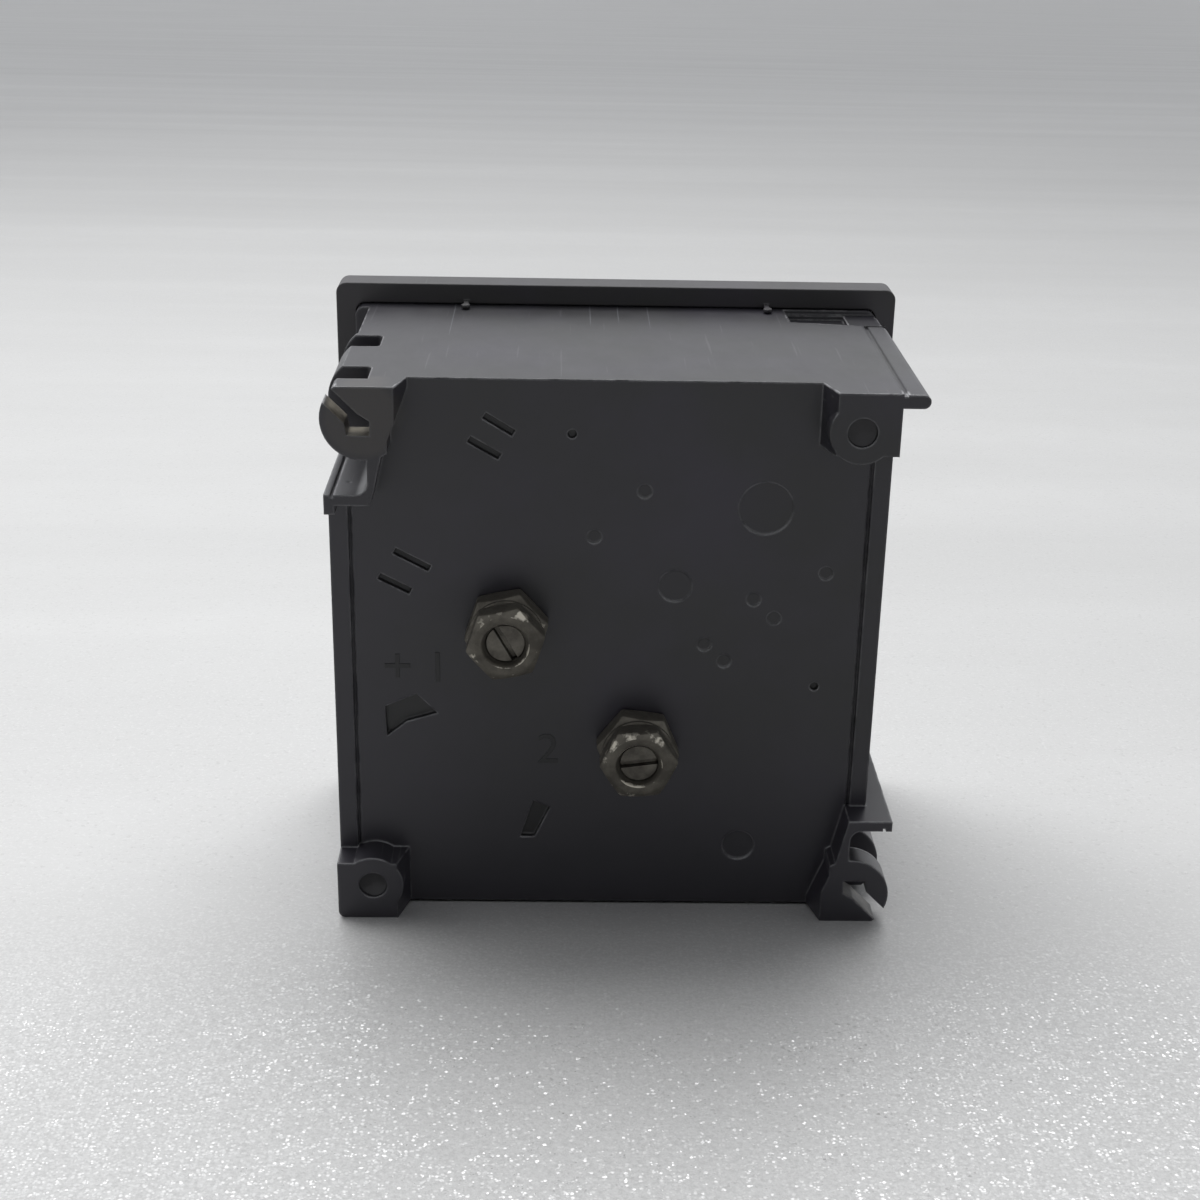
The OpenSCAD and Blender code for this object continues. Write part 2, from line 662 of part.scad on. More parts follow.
module balance_weights() {
    color([0.75, 0.6, 0.3]) {
        difference() {
            translate([px + 5.2, cross_y + 0.15, pz]) rotate([0, 90, 0]) cylinder(r = 1.05, h = tail_end - 5.2, $fn = 32);
            translate([px, cross_y, pz - 0.4]) cube([tail_end + 0.5, 0.3, 0.8]);
        }
        for (s = [-1, 1]) difference() {
            translate([px, cross_y + 0.15, pz + s * 6.4 - 0.7]) cylinder(r = 0.8, h = 1.4, $fn = 32);
            translate([px - 0.3, cross_y, pz - 9]) cube([0.6, 0.3, 18]);
        }
    }
}

// Flat spiral from radius ra to rb, its outer end at angle a1
module spiral(ra, rb, turns, a1, t) {
    n = 24 * turns;
    p = [for (i = [0:n]) let (r = ra + (rb - ra) * i / n, a = a1 - 360 * turns * (1 - i / n)) [r, a]];
    translate([px, pz]) polygon(concat(
        [for (q = p) [(q[0] - t / 2) * cos(q[1]), (q[0] - t / 2) * sin(q[1])]],
        [for (i = [n:-1:0]) [(p[i][0] + t / 2) * cos(p[i][1]), (p[i][0] + t / 2) * sin(p[i][1])]]));
}

module hairspring_front() {
    color([0.75, 0.6, 0.35]) along_y(lever_y + 0.95, lever_y + 1.35) spiral(0.95, spring_r, 4, 290, 0.12);
}

module hairspring_rear() {
    color([0.75, 0.6, 0.35]) along_y(jewel_yr - 1.2, jewel_yr - 0.8) spiral(0.95, spring_r, 4, 315, 0.12);
}

// Lever under the front bridge, turned by the zero screw's pin
module zero_lever() {
    color([0.78, 0.68, 0.4]) {
        difference() {
            union() {
                bar([px, pz], lever_y, lever_y + lever_t, 2.8, 48);
                along_y(lever_y, lever_y + lever_t) translate([px, pz]) rotate(315)
                    translate([0, -1.5]) square([zero_l + 1.6, 3]);
                along_y(lever_y, lever_y + lever_t) translate([px, pz]) rotate(290)
                    translate([0, -0.6]) square([spring_r + 0.8, 1.2]);
            }
            bar([px, pz], lever_y - 1, lever_y + 1, jewel_r + running_fit, 48);
            along_y(lever_y - 1, lever_y + 1) translate([px, pz]) rotate(315)
                translate([zero_l - 2.6, -0.6 - fork_play]) square([6, 1.2 + 2 * fork_play]);
        }
        bar(polar(stud_at, 290), lever_y + lever_t - 0.1, lever_y + 1.4, 0.35, 24);
    }
}

module zero_screw() {
    pin = [zero_p[0] - zero_e * cos(45), zero_p[1] + zero_e * sin(45)];
    color([0.12, 0.12, 0.12]) {
        difference() {
            union() {
                bar(zero_p, -frame_depth - 0.3, lip_y + 0.1, zero_r);
                bar(zero_p, lip_y + 0.05, glass_y - 0.15, zero_r + 1);
                bar(zero_p, glass_y - 0.2, glass_y + 2.2, 1.8, 48);
            }
            translate([zero_p[0], -frame_depth - 0.8, zero_p[1]]) rotate([0, -45, 0])
                translate([-4, 0, -0.45]) cube([8, 1.3, 0.9]);
        }
        bar(pin, glass_y + 2.1, lever_y + lever_t + 0.3, 0.6, 32);
    }
}

module zero_clip() {
    color([0.7, 0.7, 0.7]) difference() {
        bar(zero_p, glass_y + 0.05, glass_y + 0.45, zero_r + 1.9, 48);
        bar(zero_p, glass_y - 1, glass_y + 1, 1.8, 48);
    }
}

// Slotted stud at p: a flange inside the housing, its end slotted
module stud(p, turn) {
    difference() {
        union() {
            bar(p, floor_y - 4, floor_y - 1.5, stud_r + 1.8);
            bar(p, floor_y - 9, stud_y, stud_r);
        }
        translate([p[0], stud_y - 1.1, p[1]]) rotate([0, turn, 0]) translate([-5, 0, -0.45]) cube([10, 3, 0.9]);
    }
}

module stud_plus() {
    color([0.5, 0.44, 0.33]) stud(term_a, 120);
}

module stud_minus() {
    color([0.5, 0.44, 0.33]) stud(term_b, 8);
}

module base_nuts() {
    color([0.42, 0.37, 0.29]) for (i = [0, 1]) let (p = [term_a, term_b][i]) difference() {
        hex_bar(p, panel_y, washer_y, nut_af + 0.8, [48, 7][i]);
        bar(p, panel_y - 1, washer_y + 1, stud_r);
    }
}

module terminal_washers() {
    color([0.5, 0.46, 0.38]) for (p = [term_a, term_b]) difference() {
        bar(p, washer_y, nut_y, nut_af / 2 + 0.4);
        bar(p, washer_y - 1, nut_y + 1, stud_r + stud_play);
    }
}

module terminal_nuts() {
    color([0.46, 0.41, 0.32]) for (i = [0, 1]) let (p = [term_a, term_b][i]) difference() {
        intersection() {
            hex_bar(p, nut_y, nut_y + top_nut_h, nut_af, [48, 57][i]);
            union() {
                bar(p, nut_y, nut_y + top_nut_h - 1.1, nut_af);
                cone(p, nut_y + top_nut_h - 1.15, nut_y + top_nut_h, nut_af / 2 + 1.1, nut_af / 2 - 0.9);
            }
        }
        bar(p, nut_y - 1, nut_y + top_nut_h + 1, stud_r);
        cone(p, nut_y + top_nut_h - 0.8, nut_y + top_nut_h + 0.01, stud_r, stud_r + 0.5);
    }
}

module shunt_lugs() {
    color([0.72, 0.45, 0.28]) for (p = [term_a, term_b]) difference() {
        bar(p, strip_y, floor_y - 4, stud_r + 2.4);
        bar(p, strip_y - 1, floor_y, stud_r);
    }
}

module shunt_strip() {
    d = term_b - term_a;
    l = norm(d);
    color([0.6, 0.5, 0.42]) along_y(strip_y + 1, strip_y + 2) difference() {
        translate(term_a) rotate(atan2(d[1], d[0])) translate([0, -2.6]) square([l, 5.2]);
        for (p = [term_a, term_b]) translate(p) circle(r = stud_r + 2.4);
    }
}

module stud_nuts() {
    color([0.6, 0.55, 0.42]) for (p = [term_a, term_b]) difference() {
        hex_bar(p, floor_y - 9, strip_y, nut_af - 0.4);
        bar(p, floor_y - 10, strip_y + 1, stud_r);
    }
}

housing();
bezel_frame();
window_glass();
window_seal();
dial_plate();
dial_screws();
pointer_stops();
dial_carrier();
carrier_screws();
movement_frame();
frame_screws();
yoke_ring();
core_magnet();
front_bridge();
rear_bridge();
bridge_bolts();
jewel_screw_front();
jewel_screw_rear();
coil_former();
coil_winding();
pivot_front();
pivot_rear();
pointer();
balance_weights();
hairspring_front();
hairspring_rear();
zero_lever();
zero_screw();
zero_clip();
stud_plus();
stud_minus();
base_nuts();
terminal_washers();
terminal_nuts();
shunt_lugs();
shunt_strip();
stud_nuts();
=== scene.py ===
# %% [markdown]
# # A square panel ammeter, standing on its front frame and seen from behind
# The real thing is a black moulded box with a flat frame round its dial. Two slotted
# studs come out of its back, and two of its corners are sockets for panel clamps.
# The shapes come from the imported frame; this lesson gives them a camera, a table, light,
# finishes and the fine detail that is too small for the solids.

# %% Load the frame
import math

import bmesh
import bpy
import numpy as np
from mathutils import Matrix, Vector


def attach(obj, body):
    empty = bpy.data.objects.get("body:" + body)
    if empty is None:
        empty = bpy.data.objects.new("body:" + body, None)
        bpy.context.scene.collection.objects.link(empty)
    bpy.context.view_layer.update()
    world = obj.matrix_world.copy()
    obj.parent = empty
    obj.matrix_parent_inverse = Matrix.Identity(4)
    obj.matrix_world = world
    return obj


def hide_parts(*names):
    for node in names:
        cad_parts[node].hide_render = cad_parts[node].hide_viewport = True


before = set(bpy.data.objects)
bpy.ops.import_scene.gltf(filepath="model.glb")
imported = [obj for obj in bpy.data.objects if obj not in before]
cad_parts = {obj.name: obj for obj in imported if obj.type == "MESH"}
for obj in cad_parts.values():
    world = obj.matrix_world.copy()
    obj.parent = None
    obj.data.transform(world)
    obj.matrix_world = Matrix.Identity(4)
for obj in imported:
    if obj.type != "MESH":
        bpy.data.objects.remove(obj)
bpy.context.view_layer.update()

MM = 0.001

# %% [markdown]
# The camera was a phone held a little above the table, looking slightly down on the
# rear wall. Its place and turn were found by fitting straight edges of the box to the
# picture, so they are written here as a point and three directions. A matrix built
# from directions says exactly that, where three Euler angles would hide it.

# %% Camera
IMAGE_PX = 1200
SENSOR_MM = 36.0


def camera_from_axes(place, right, down, forward, focal_px):
    """A camera at place whose axes are given.

    Its lens is the focal length over the image width, times the sensor width.
    """
    data = bpy.data.cameras.new("camera")
    data.sensor_width = SENSOR_MM
    data.lens = focal_px / IMAGE_PX * SENSOR_MM
    data.clip_start, data.clip_end = 0.01, 100.0
    camera = bpy.data.objects.new("camera", data)
    bpy.context.collection.objects.link(camera)
    turn = Matrix((right, [-v for v in down], [-v for v in forward])).transposed()
    camera.matrix_world = Matrix.Translation(Vector(place)) @ turn.to_4x4()
    return camera


camera = camera_from_axes(
    place=(0.00921, 0.32117, 0.11900),
    right=(-0.99971, 0.01560, 0.01832),
    down=(-0.01120, 0.37251, -0.92796),
    forward=(-0.02130, -0.92790, -0.37223),
    focal_px=1896.9)
bpy.context.scene.camera = camera
print("camera lens in mm:", round(camera.data.lens, 2))

# %% [markdown]
# New pieces below are grids of points worked out with numpy. A grid has two directions;
# either one may be closed into a ring. One helper turns such a grid into a mesh, so each
# piece only has to say where its points are.

# %% Grids into meshes
def grid_mesh(name, points, closed_u=False, closed_v=False):
    """A mesh of quads over a grid of points.

    Rows run along u, columns along v, and a closed direction joins its end to its start.
    """
    nu, nv = points.shape[:2]
    iu = np.arange(nu if closed_u else nu - 1)
    iv = np.arange(nv if closed_v else nv - 1)
    a, b = np.meshgrid(iu, iv, indexing="ij")
    a2, b2 = (a + 1) % nu, (b + 1) % nv
    quads = np.stack([a * nv + b, a2 * nv + b, a2 * nv + b2, a * nv + b2], axis=-1)
    mesh = bpy.data.meshes.new(name)
    mesh.from_pydata(points.reshape(-1, 3).tolist(), [], quads.reshape(-1, 4).tolist())
    mesh.validate()
    return mesh


def shade_smooth(mesh, smooth=True):
    """Sets the shading of every face of a mesh."""
    mesh.polygons.foreach_set("use_smooth", np.full(len(mesh.polygons), smooth))
    mesh.update()


def add_object(name, mesh):
    """An object for a mesh whose points are already in their place."""
    obj = bpy.data.objects.new(name, mesh)
    bpy.context.collection.objects.link(obj)
    return obj


print("helpers for grids are ready")

# %% [markdown]
# The meter touches the table along the lower edge of its frame and at its two lower
# rear corners, so the table isn't level in the meter's own frame. Two contact points
# give its slope. The table is one flat sheet that runs on until it passes the top of
# the picture, so no horizon shows. Its lines crowd together near the meter.

# %% Table
CONTACT_FRONT = (0.0, -48.0 * MM)
CONTACT_REAR = (53.4 * MM, -44.5 * MM)
SHEET_FAR = 40.0
SHEET_NEAR = 12.0
table_slope = math.atan2(CONTACT_REAR[1] - CONTACT_FRONT[1],
                         CONTACT_REAR[0] - CONTACT_FRONT[0])


def table_sheet():
    """A flat grid turned by the table's slope about the front contact.

    Distance from the meter is a cubic of the grid's own step from -1 to 1.
    """
    step = np.linspace(-1, 1, 81)
    x, y = np.meshgrid(SHEET_FAR * step ** 3,
                       np.where(step < 0, SHEET_FAR, SHEET_NEAR) * step ** 3, indexing="ij")
    return np.stack([x, CONTACT_FRONT[0] + y * math.cos(table_slope),
                     CONTACT_FRONT[1] + y * math.sin(table_slope)], axis=-1)


table = add_object("table", grid_mesh("table", table_sheet()))
shade_smooth(table.data)
print("table slope in degrees:", round(math.degrees(table_slope), 2))

# %% [markdown]
# Every finish below starts from the Principled shader and reads Object coordinates,
# so its pattern stays on the piece when a joint moves it. A finish could be painted on
# an image, but a graph of nodes needs no picture and stays sharp at any distance. A few
# short helpers keep the graphs readable: each adds one node and hands back its output.

# %% Helpers for node graphs
def new_finish(name, colour, rough, **fixed):
    """A material with its Principled shader set; fixed values go straight to its sockets."""
    material = bpy.data.materials.new(name)
    material.use_nodes = True
    shader = material.node_tree.nodes["Principled BSDF"]
    shader.inputs["Base Color"].default_value = (*colour, 1.0)
    shader.inputs["Roughness"].default_value = rough
    for key, value in fixed.items():
        shader.inputs[key.replace("_", " ")].default_value = value
    return material, material.node_tree, shader


def add_node(tree, kind, sockets, **settings):
    """One node; each socket gets a number, a colour, a vector or another node's output."""
    node = tree.nodes.new("ShaderNode" + kind)
    for key, value in settings.items():
        setattr(node, key, value)
    for key, value in sockets.items():
        socket = node.inputs[key]
        if isinstance(value, (int, float)):
            socket.default_value = value
        elif isinstance(value, (tuple, Vector)):
            socket.default_value = (*value, 1.0) if socket.type == "RGBA" else value
        else:
            tree.links.new(value, socket)
    return node


def object_coords(tree, stretch=(1, 1, 1)):
    """Object coordinates in metres, stretched along each axis."""
    coords = tree.nodes.new("ShaderNodeTexCoord")
    sockets = {"Vector": coords.outputs["Object"], "Scale": stretch}
    return add_node(tree, "Mapping", sockets).outputs["Vector"]


def noise(tree, vector, scale, detail=4.0, rough=0.55):
    """Fractal noise; scale is in patches per metre."""
    sockets = {"Vector": vector, "Scale": scale, "Detail": detail, "Roughness": rough}
    return add_node(tree, "TexNoise", sockets).outputs["Fac"]


def remap(tree, value, low, high, to_low=0.0, to_high=1.0):
    """Values from low to high become to_low to to_high, and stop there."""
    sockets = {"Value": value, "From Min": low, "From Max": high,
               "To Min": to_low, "To Max": to_high}
    return add_node(tree, "MapRange", sockets).outputs["Result"]


def mix_colours(tree, factor, first, second, blend="MIX"):
    """first where factor is 0, second blended over it where it is 1."""
    sockets = {0: factor, 6: first, 7: second}
    return add_node(tree, "Mix", sockets, data_type="RGBA", blend_type=blend).outputs[2]


def bump(tree, shader, height, depth, strength, below=None):
    """Adds relief to a shader: height 0 to 1 stands for depth metres."""
    sockets = {"Height": height, "Distance": depth, "Strength": strength}
    if below is not None:
        sockets["Normal"] = below
    relief = add_node(tree, "Bump", sockets)
    tree.links.new(relief.outputs["Normal"], shader.inputs["Normal"])


print("helpers for node graphs are ready")

# %% [markdown]
# Wear, dirt and painted light and shade sit in certain places only. A mask is a number
# from 0 to 1 that says where, worked out from the place on the piece, the way a face looks,
# or how near an edge is. Masks are multiplied to narrow them down, so each one can stay simple.

# %% Masks for wear and painted light
def number(tree, operation, first, second=None):
    """One arithmetic step on numbers or outputs."""
    sockets = {0: first} if second is None else {0: first, 1: second}
    return add_node(tree, "Math", sockets, operation=operation).outputs[0]


def times(tree, *factors):
    """Product of several numbers or outputs."""
    total = factors[0]
    for factor in factors[1:]:
        total = number(tree, "MULTIPLY", total, factor)
    return total


def parts_of(tree, vector):
    """The three numbers of a vector."""
    return add_node(tree, "SeparateXYZ", {0: vector}).outputs


def true_normal(tree):
    """The way the surface looks, as a vector."""
    return tree.nodes.new("ShaderNodeNewGeometry").outputs["Normal"]


def vector_step(tree, operation, first, second):
    """One arithmetic step on two vectors."""
    return add_node(tree, "VectorMath", {0: first, 1: second}, operation=operation).outputs


def edge_mask(tree, radius):
    """Normals rounded over radius, and how far they turn from the true ones.

    The turn is 0 on a flat and near 0.3 at a square edge.
    """
    rounded = add_node(tree, "Bevel", {"Radius": radius}, samples=6).outputs["Normal"]
    alike = vector_step(tree, "DOT_PRODUCT", rounded, true_normal(tree))["Value"]
    return rounded, number(tree, "SUBTRACT", 1.0, alike)


def between(tree, value, low, high, soft):
    """1 from low to high, 0 outside, with a soft border."""
    return times(tree, remap(tree, value, low - soft, low + soft),
                 remap(tree, value, high + soft, high - soft))


def near_axis(tree, place, x, z, radius):
    """1 inside a distance from an axis along Y, 0 outside, with a soft border."""
    dx = number(tree, "SUBTRACT", place[0], x)
    dz = number(tree, "SUBTRACT", place[2], z)
    square = number(tree, "ADD", times(tree, dx, dx), times(tree, dz, dz))
    return remap(tree, number(tree, "SQRT", square), radius * 1.05, radius * 0.85)


print("helpers for masks are ready")

# %% [markdown]
# The case and the frame are a filled black thermoset. It leaves the mould with a satin
# skin that turns grey where it mirrors the sky at a flat angle. Years in a switchboard
# add faint cloudy patches with a violet cast, a few fine scratches from sliding into the
# panel, and pale rubbed edges. Painted light makes the black paler low down and on the +X
# side, and painted highlights make the pale edges brightest where they look up. The
# narrow round of each edge is made in the shader with a Bevel node: the housing has ribs
# and slots that are too close together for a Bevel modifier.

# %% Black moulded skin
SCRATCH_GREY = (0.10, 0.10, 0.105)
# pale grey of rubbed edges, also used for painted highlights on edges that look up
WORN_AND_HIGHLIGHT_GREY = (0.62, 0.62, 0.64)
# The top wall ends in a crease beside its wing, which stays dark, and the four corner
# blocks behind BLOCKS_Y get the palest edges where they look up, as painted highlights.
CREASE_X = (-43.2 * MM, -39.6 * MM)
TOP_WALL_Z = (43.5 * MM, 44.2 * MM)
BLOCKS_Y = (51.0 * MM, 52.0 * MM)


def cloudy_black(tree, vector, place, colour):
    """The base colour: cloudy, with a violet cast, and paler down and to +X as painted light."""
    violet = tuple(v * k + 0.001 for v, k in zip(colour, (1.45, 1.3, 1.75)))
    painted_light_tone = tuple(v * k + 0.002 for v, k in zip(colour, (2.1, 2.0, 2.2)))
    clouds = remap(tree, noise(tree, vector, 38, 5), 0.42, 0.70)
    skin = mix_colours(tree, clouds, colour, violet)
    # painted light: the black turns paler low down and towards +X
    skin = mix_colours(tree, remap(tree, place[2], -5 * MM, -46 * MM), skin, painted_light_tone)
    return mix_colours(tree, remap(tree, place[0], 20 * MM, 44 * MM, 0.0, 0.7), skin, painted_light_tone)


def worn_and_highlit_edges(tree, vector, place, rounded, edge, worn):
    """Where the edges are pale: rubbed wear in patches, with painted highlights on those that
    look up.
    """
    up = parts_of(tree, rounded)[2]
    # painted highlight: edges that look up get the pale colour in full, the others a quarter of
    # it
    highlight_upward = remap(tree, up, 0.15, 0.6, 0.25, 1.0)
    patchy = remap(tree, noise(tree, vector, 330, 3), 0.36, 0.58, 0.1, 1.0)
    crease = number(tree, "MINIMUM", between(tree, place[0], *CREASE_X, 0.2 * MM),
                    remap(tree, place[2], *TOP_WALL_Z))
    plain = number(tree, "SUBTRACT", 1.0, crease)
    edge_wear_and_highlight = times(tree, remap(tree, edge, 0.04, 0.2), patchy, highlight_upward, plain, worn)
    # painted highlights on the edges of the corner blocks that look up, most on the upper blocks
    block_highlights = times(tree, remap(tree, place[1], *BLOCKS_Y), remap(tree, up, 0.3, 0.6),
                   remap(tree, edge, 0.003, 0.03),
                   remap(tree, place[2], 40 * MM, 43 * MM, 0.25, 1.0))
    uneven = remap(tree, noise(tree, vector, 190, 3), 0.36, 0.46, 0.3, 1.0)
    return number(tree, "MAXIMUM", edge_wear_and_highlight, times(tree, block_highlights, uneven))


# worn sets the strength of the pale edges: rubbed wear and painted highlights
def black_moulding(name, colour, rough, edge_radius, worn):
    """Near-black satin plastic; hands back what a finish needs to add more to it."""
    material, tree, shader = new_finish(name, colour, rough, IOR=1.5)
    vector = object_coords(tree)
    place = parts_of(tree, vector)
    looks = parts_of(tree, true_normal(tree))
    flank = remap(tree, number(tree, "ABSOLUTE", looks[1]), 0.75, 0.45)
    streaks = noise(tree, object_coords(tree, (1, 0.025, 1)), 2100, 1, 0.3)
    scratches = times(tree, remap(tree, streaks, 0.735, 0.77, 0.0, 0.5), flank)
    skin = cloudy_black(tree, vector, place, colour)
    skin = mix_colours(tree, scratches, skin, SCRATCH_GREY)
    rounded, edge = edge_mask(tree, edge_radius)
    # pale edges: rubbed wear, and painted highlights where they look up
    pale = worn_and_highlit_edges(tree, vector, place, rounded, edge, worn)
    skin = mix_colours(tree, pale, skin, WORN_AND_HIGHLIGHT_GREY)
    rubs = noise(tree, object_coords(tree, (1, 0.5, 1)), 160, 5, 0.6)
    gloss = remap(tree, rubs, 0.3, 0.75, rough - 0.03, rough + 0.05)
    tree.links.new(gloss, shader.inputs["Roughness"])
    bump(tree, shader, noise(tree, vector, 5200, 2), 0.02 * MM, 0.5, below=rounded)
    return material, tree, shader, skin, place, looks[2], flank


def frame_finish():
    """The front frame's black, a little browner and duller than the housing's."""
    colour = (0.025, 0.0245, 0.0245)
    material, tree, shader, skin = black_moulding("frame_black", colour, 0.48, 0.3 * MM, 0.45)[:4]
    tree.links.new(skin, shader.inputs["Base Color"])
    return material


finishes = {"frame_black": frame_finish()}
print("frame finish:", finishes["frame_black"].name)

# %% [markdown]
# The housing has more on it than the frame: painted shade on the floors of the marks and
# slots in its rear wall, a dull film with painted light on the upper lug, painted light on
# the flanks of the channel beside it, sandy dust with painted light on the flanks inside the
# clamp sockets, and four light lines on the top wall where it slid into the panel. Each is
# one more colour mixed in by its own mask.

# %% Housing finish
SOCKET_AXIS = (38.4 * MM, 39.6 * MM)
SOCKET_R = 6.0 * MM
# where the colours are painted: dust with painted light in the grooves of the sockets,
# painted light in the channel beside the upper lug, and painted shade on the floors of the
# marks inside the border of the rear wall
GROOVE_X, GROOVE_Z = (35.6 * MM, 45.2 * MM), (33.0 * MM, 44.3 * MM)
CHANNEL_X, CHANNEL_Z = (39.0 * MM, 47.5 * MM), (19.0 * MM, 34.0 * MM)
BORDER_X, BORDER_Z = (37.5 * MM, 37.0 * MM), (40.0 * MM, 39.5 * MM)
FLOORS_Y = (47.45 * MM, 46.9 * MM)
SLIDE_LINES = [(4.6 * MM, 15 * MM), (-0.1 * MM, 13 * MM), (-5.2 * MM, 16 * MM),
               (27.5 * MM, 22 * MM)]
SLIDE_HALF = 0.05 * MM
# painted shade: nearly black, for the floors of the marks and slots
RECESS_SHADE = (0.004, 0.004, 0.004)
# a paler brown for the upper lug: a dull film, and painted light
LUG_FILM_AND_LIGHT = (0.075, 0.068, 0.062)
# painted light for the flanks of the channel beside the upper lug
CHANNEL_LIGHT = (0.16, 0.16, 0.17)
# sandy dust, with painted light on the faces that look up
DUST_AND_LIGHT = (0.34, 0.31, 0.25)
LINE_GREY = (0.22, 0.23, 0.25)


def slide_lines(tree, place):
    """Thin lines along Y on the top wall, each at its own X and fading at its end."""
    lines = 0.0
    for x, end in SLIDE_LINES:
        line = times(tree, between(tree, place[0], x - SLIDE_HALF, x + SLIDE_HALF, 0.04 * MM),
                     remap(tree, place[1], end, end - 4 * MM))
        lines = number(tree, "MAXIMUM", lines, line)
    return times(tree, lines, remap(tree, place[2], 44.0 * MM, 44.5 * MM), 0.6)


def socket_dust_and_light(tree, place, up, flank, top_socket):
    """Dust in the grooves of both sockets: uneven, and with painted light on faces that look up.
    """
    low_socket = near_axis(tree, place, -SOCKET_AXIS[0], -SOCKET_AXIS[1], SOCKET_R)
    both = number(tree, "MAXIMUM", top_socket, times(tree, low_socket, 0.35))
    across = between(tree, number(tree, "ABSOLUTE", place[0]), *GROOVE_X, 0.2 * MM)
    upright = between(tree, number(tree, "ABSOLUTE", place[2]), *GROOVE_Z, 0.2 * MM)
    uneven = remap(tree, noise(tree, object_coords(tree), 450, 4), 0.35, 0.62, 0.35, 1.0)
    # painted light with the dust: faces that look up are paler
    lying = remap(tree, up, 0.15, 0.5, 0.06, 1.0)
    return times(tree, both, flank, times(tree, across, upright), uneven, lying)


def case_finish():
    """The housing's black with painted shade, a film, dust, painted light and lines."""
    material, tree, shader, skin, place, up, flank = black_moulding(
        "case_black", (0.0165, 0.0163, 0.0190), 0.36, 0.6 * MM, 1.0)
    # painted shade: the floors of the marks and slots inside the border of the rear wall turn
    # nearly black
    sunk_shade = remap(tree, place[1], *FLOORS_Y)
    on_wall = times(tree, remap(tree, number(tree, "ABSOLUTE", place[0]), *BORDER_X),
                    remap(tree, number(tree, "ABSOLUTE", place[2]), *BORDER_Z))
    skin = mix_colours(tree, times(tree, sunk_shade, on_wall, 0.9), skin, RECESS_SHADE)
    top_socket = near_axis(tree, place, *SOCKET_AXIS, SOCKET_R)
    # painted light with a dull film: the upper lug turns a paler brown towards the rear
    lug = times(tree, top_socket, remap(tree, place[1], 47.0 * MM, 48.0 * MM), 0.5)
    skin = mix_colours(tree, lug, skin, LUG_FILM_AND_LIGHT)
    # painted light: the flanks of the channel beside the upper lug turn a paler grey
    channel_light = times(tree, between(tree, place[0], *CHANNEL_X, 0.5 * MM),
                    between(tree, place[2], *CHANNEL_Z, 1.0 * MM), flank, 0.35)
    skin = mix_colours(tree, channel_light, skin, CHANNEL_LIGHT)
    skin = mix_colours(tree, socket_dust_and_light(tree, place, up, flank, top_socket), skin, DUST_AND_LIGHT)
    skin = mix_colours(tree, slide_lines(tree, place), skin, LINE_GREY)
    tree.links.new(skin, shader.inputs["Base Color"])
    return material


finishes["case_black"] = case_finish()
print("housing finish:", finishes["case_black"].name)

# %% [markdown]
# The studs and nuts were plated once. Handling and damp have turned them a dull brown
# with bright bare patches on their edges. Two colours are mixed by a coarse noise, and
# the dull patches are also the rougher ones, as tarnish is. The same recipe with other
# numbers gives every metal inside the meter: steel, iron, brass, copper and the rest.

# %% Metal finishes
def tarnished(name, bright, dull, smooth, rough, grain=2500, lines=(1, 1, 1), metal=1.0,
              bare=None):
    """Metal whose dull patches are darker and rougher; lines stretches its fine grain.

    With bare, the piece's own attribute worn shows that colour through patches: the
    higher it is, the more of the noise counts as worn.
    """
    material, tree, shader = new_finish(name, bright, smooth, Metallic=metal)
    patches = noise(tree, object_coords(tree), grain / 8, 6, 0.65)
    tone = mix_colours(tree, remap(tree, patches, 0.36, 0.62), bright, dull)
    gloss = remap(tree, patches, 0.36, 0.66, smooth, rough)
    if bare:
        worn = add_node(tree, "Attribute", {}, attribute_name="worn").outputs["Fac"]
        rubs = noise(tree, object_coords(tree), 300, 4, 0.6)
        raised = number(tree, "ADD", rubs, times(tree, worn, 0.1))
        shown = times(tree, remap(tree, worn, 0, 1), remap(tree, raised, 0.685, 0.75))
        tone = mix_colours(tree, shown, tone, bare)
        gloss = number(tree, "SUBTRACT", gloss, times(tree, shown, 0.12))
    tree.links.new(tone, shader.inputs["Base Color"])
    tree.links.new(gloss, shader.inputs["Roughness"])
    bump(tree, shader, noise(tree, object_coords(tree, lines), grain, 3), 0.03 * MM, 0.5)
    return material


GRAIN_ALONG_Y = {"lines": (1, 0.1, 1)}
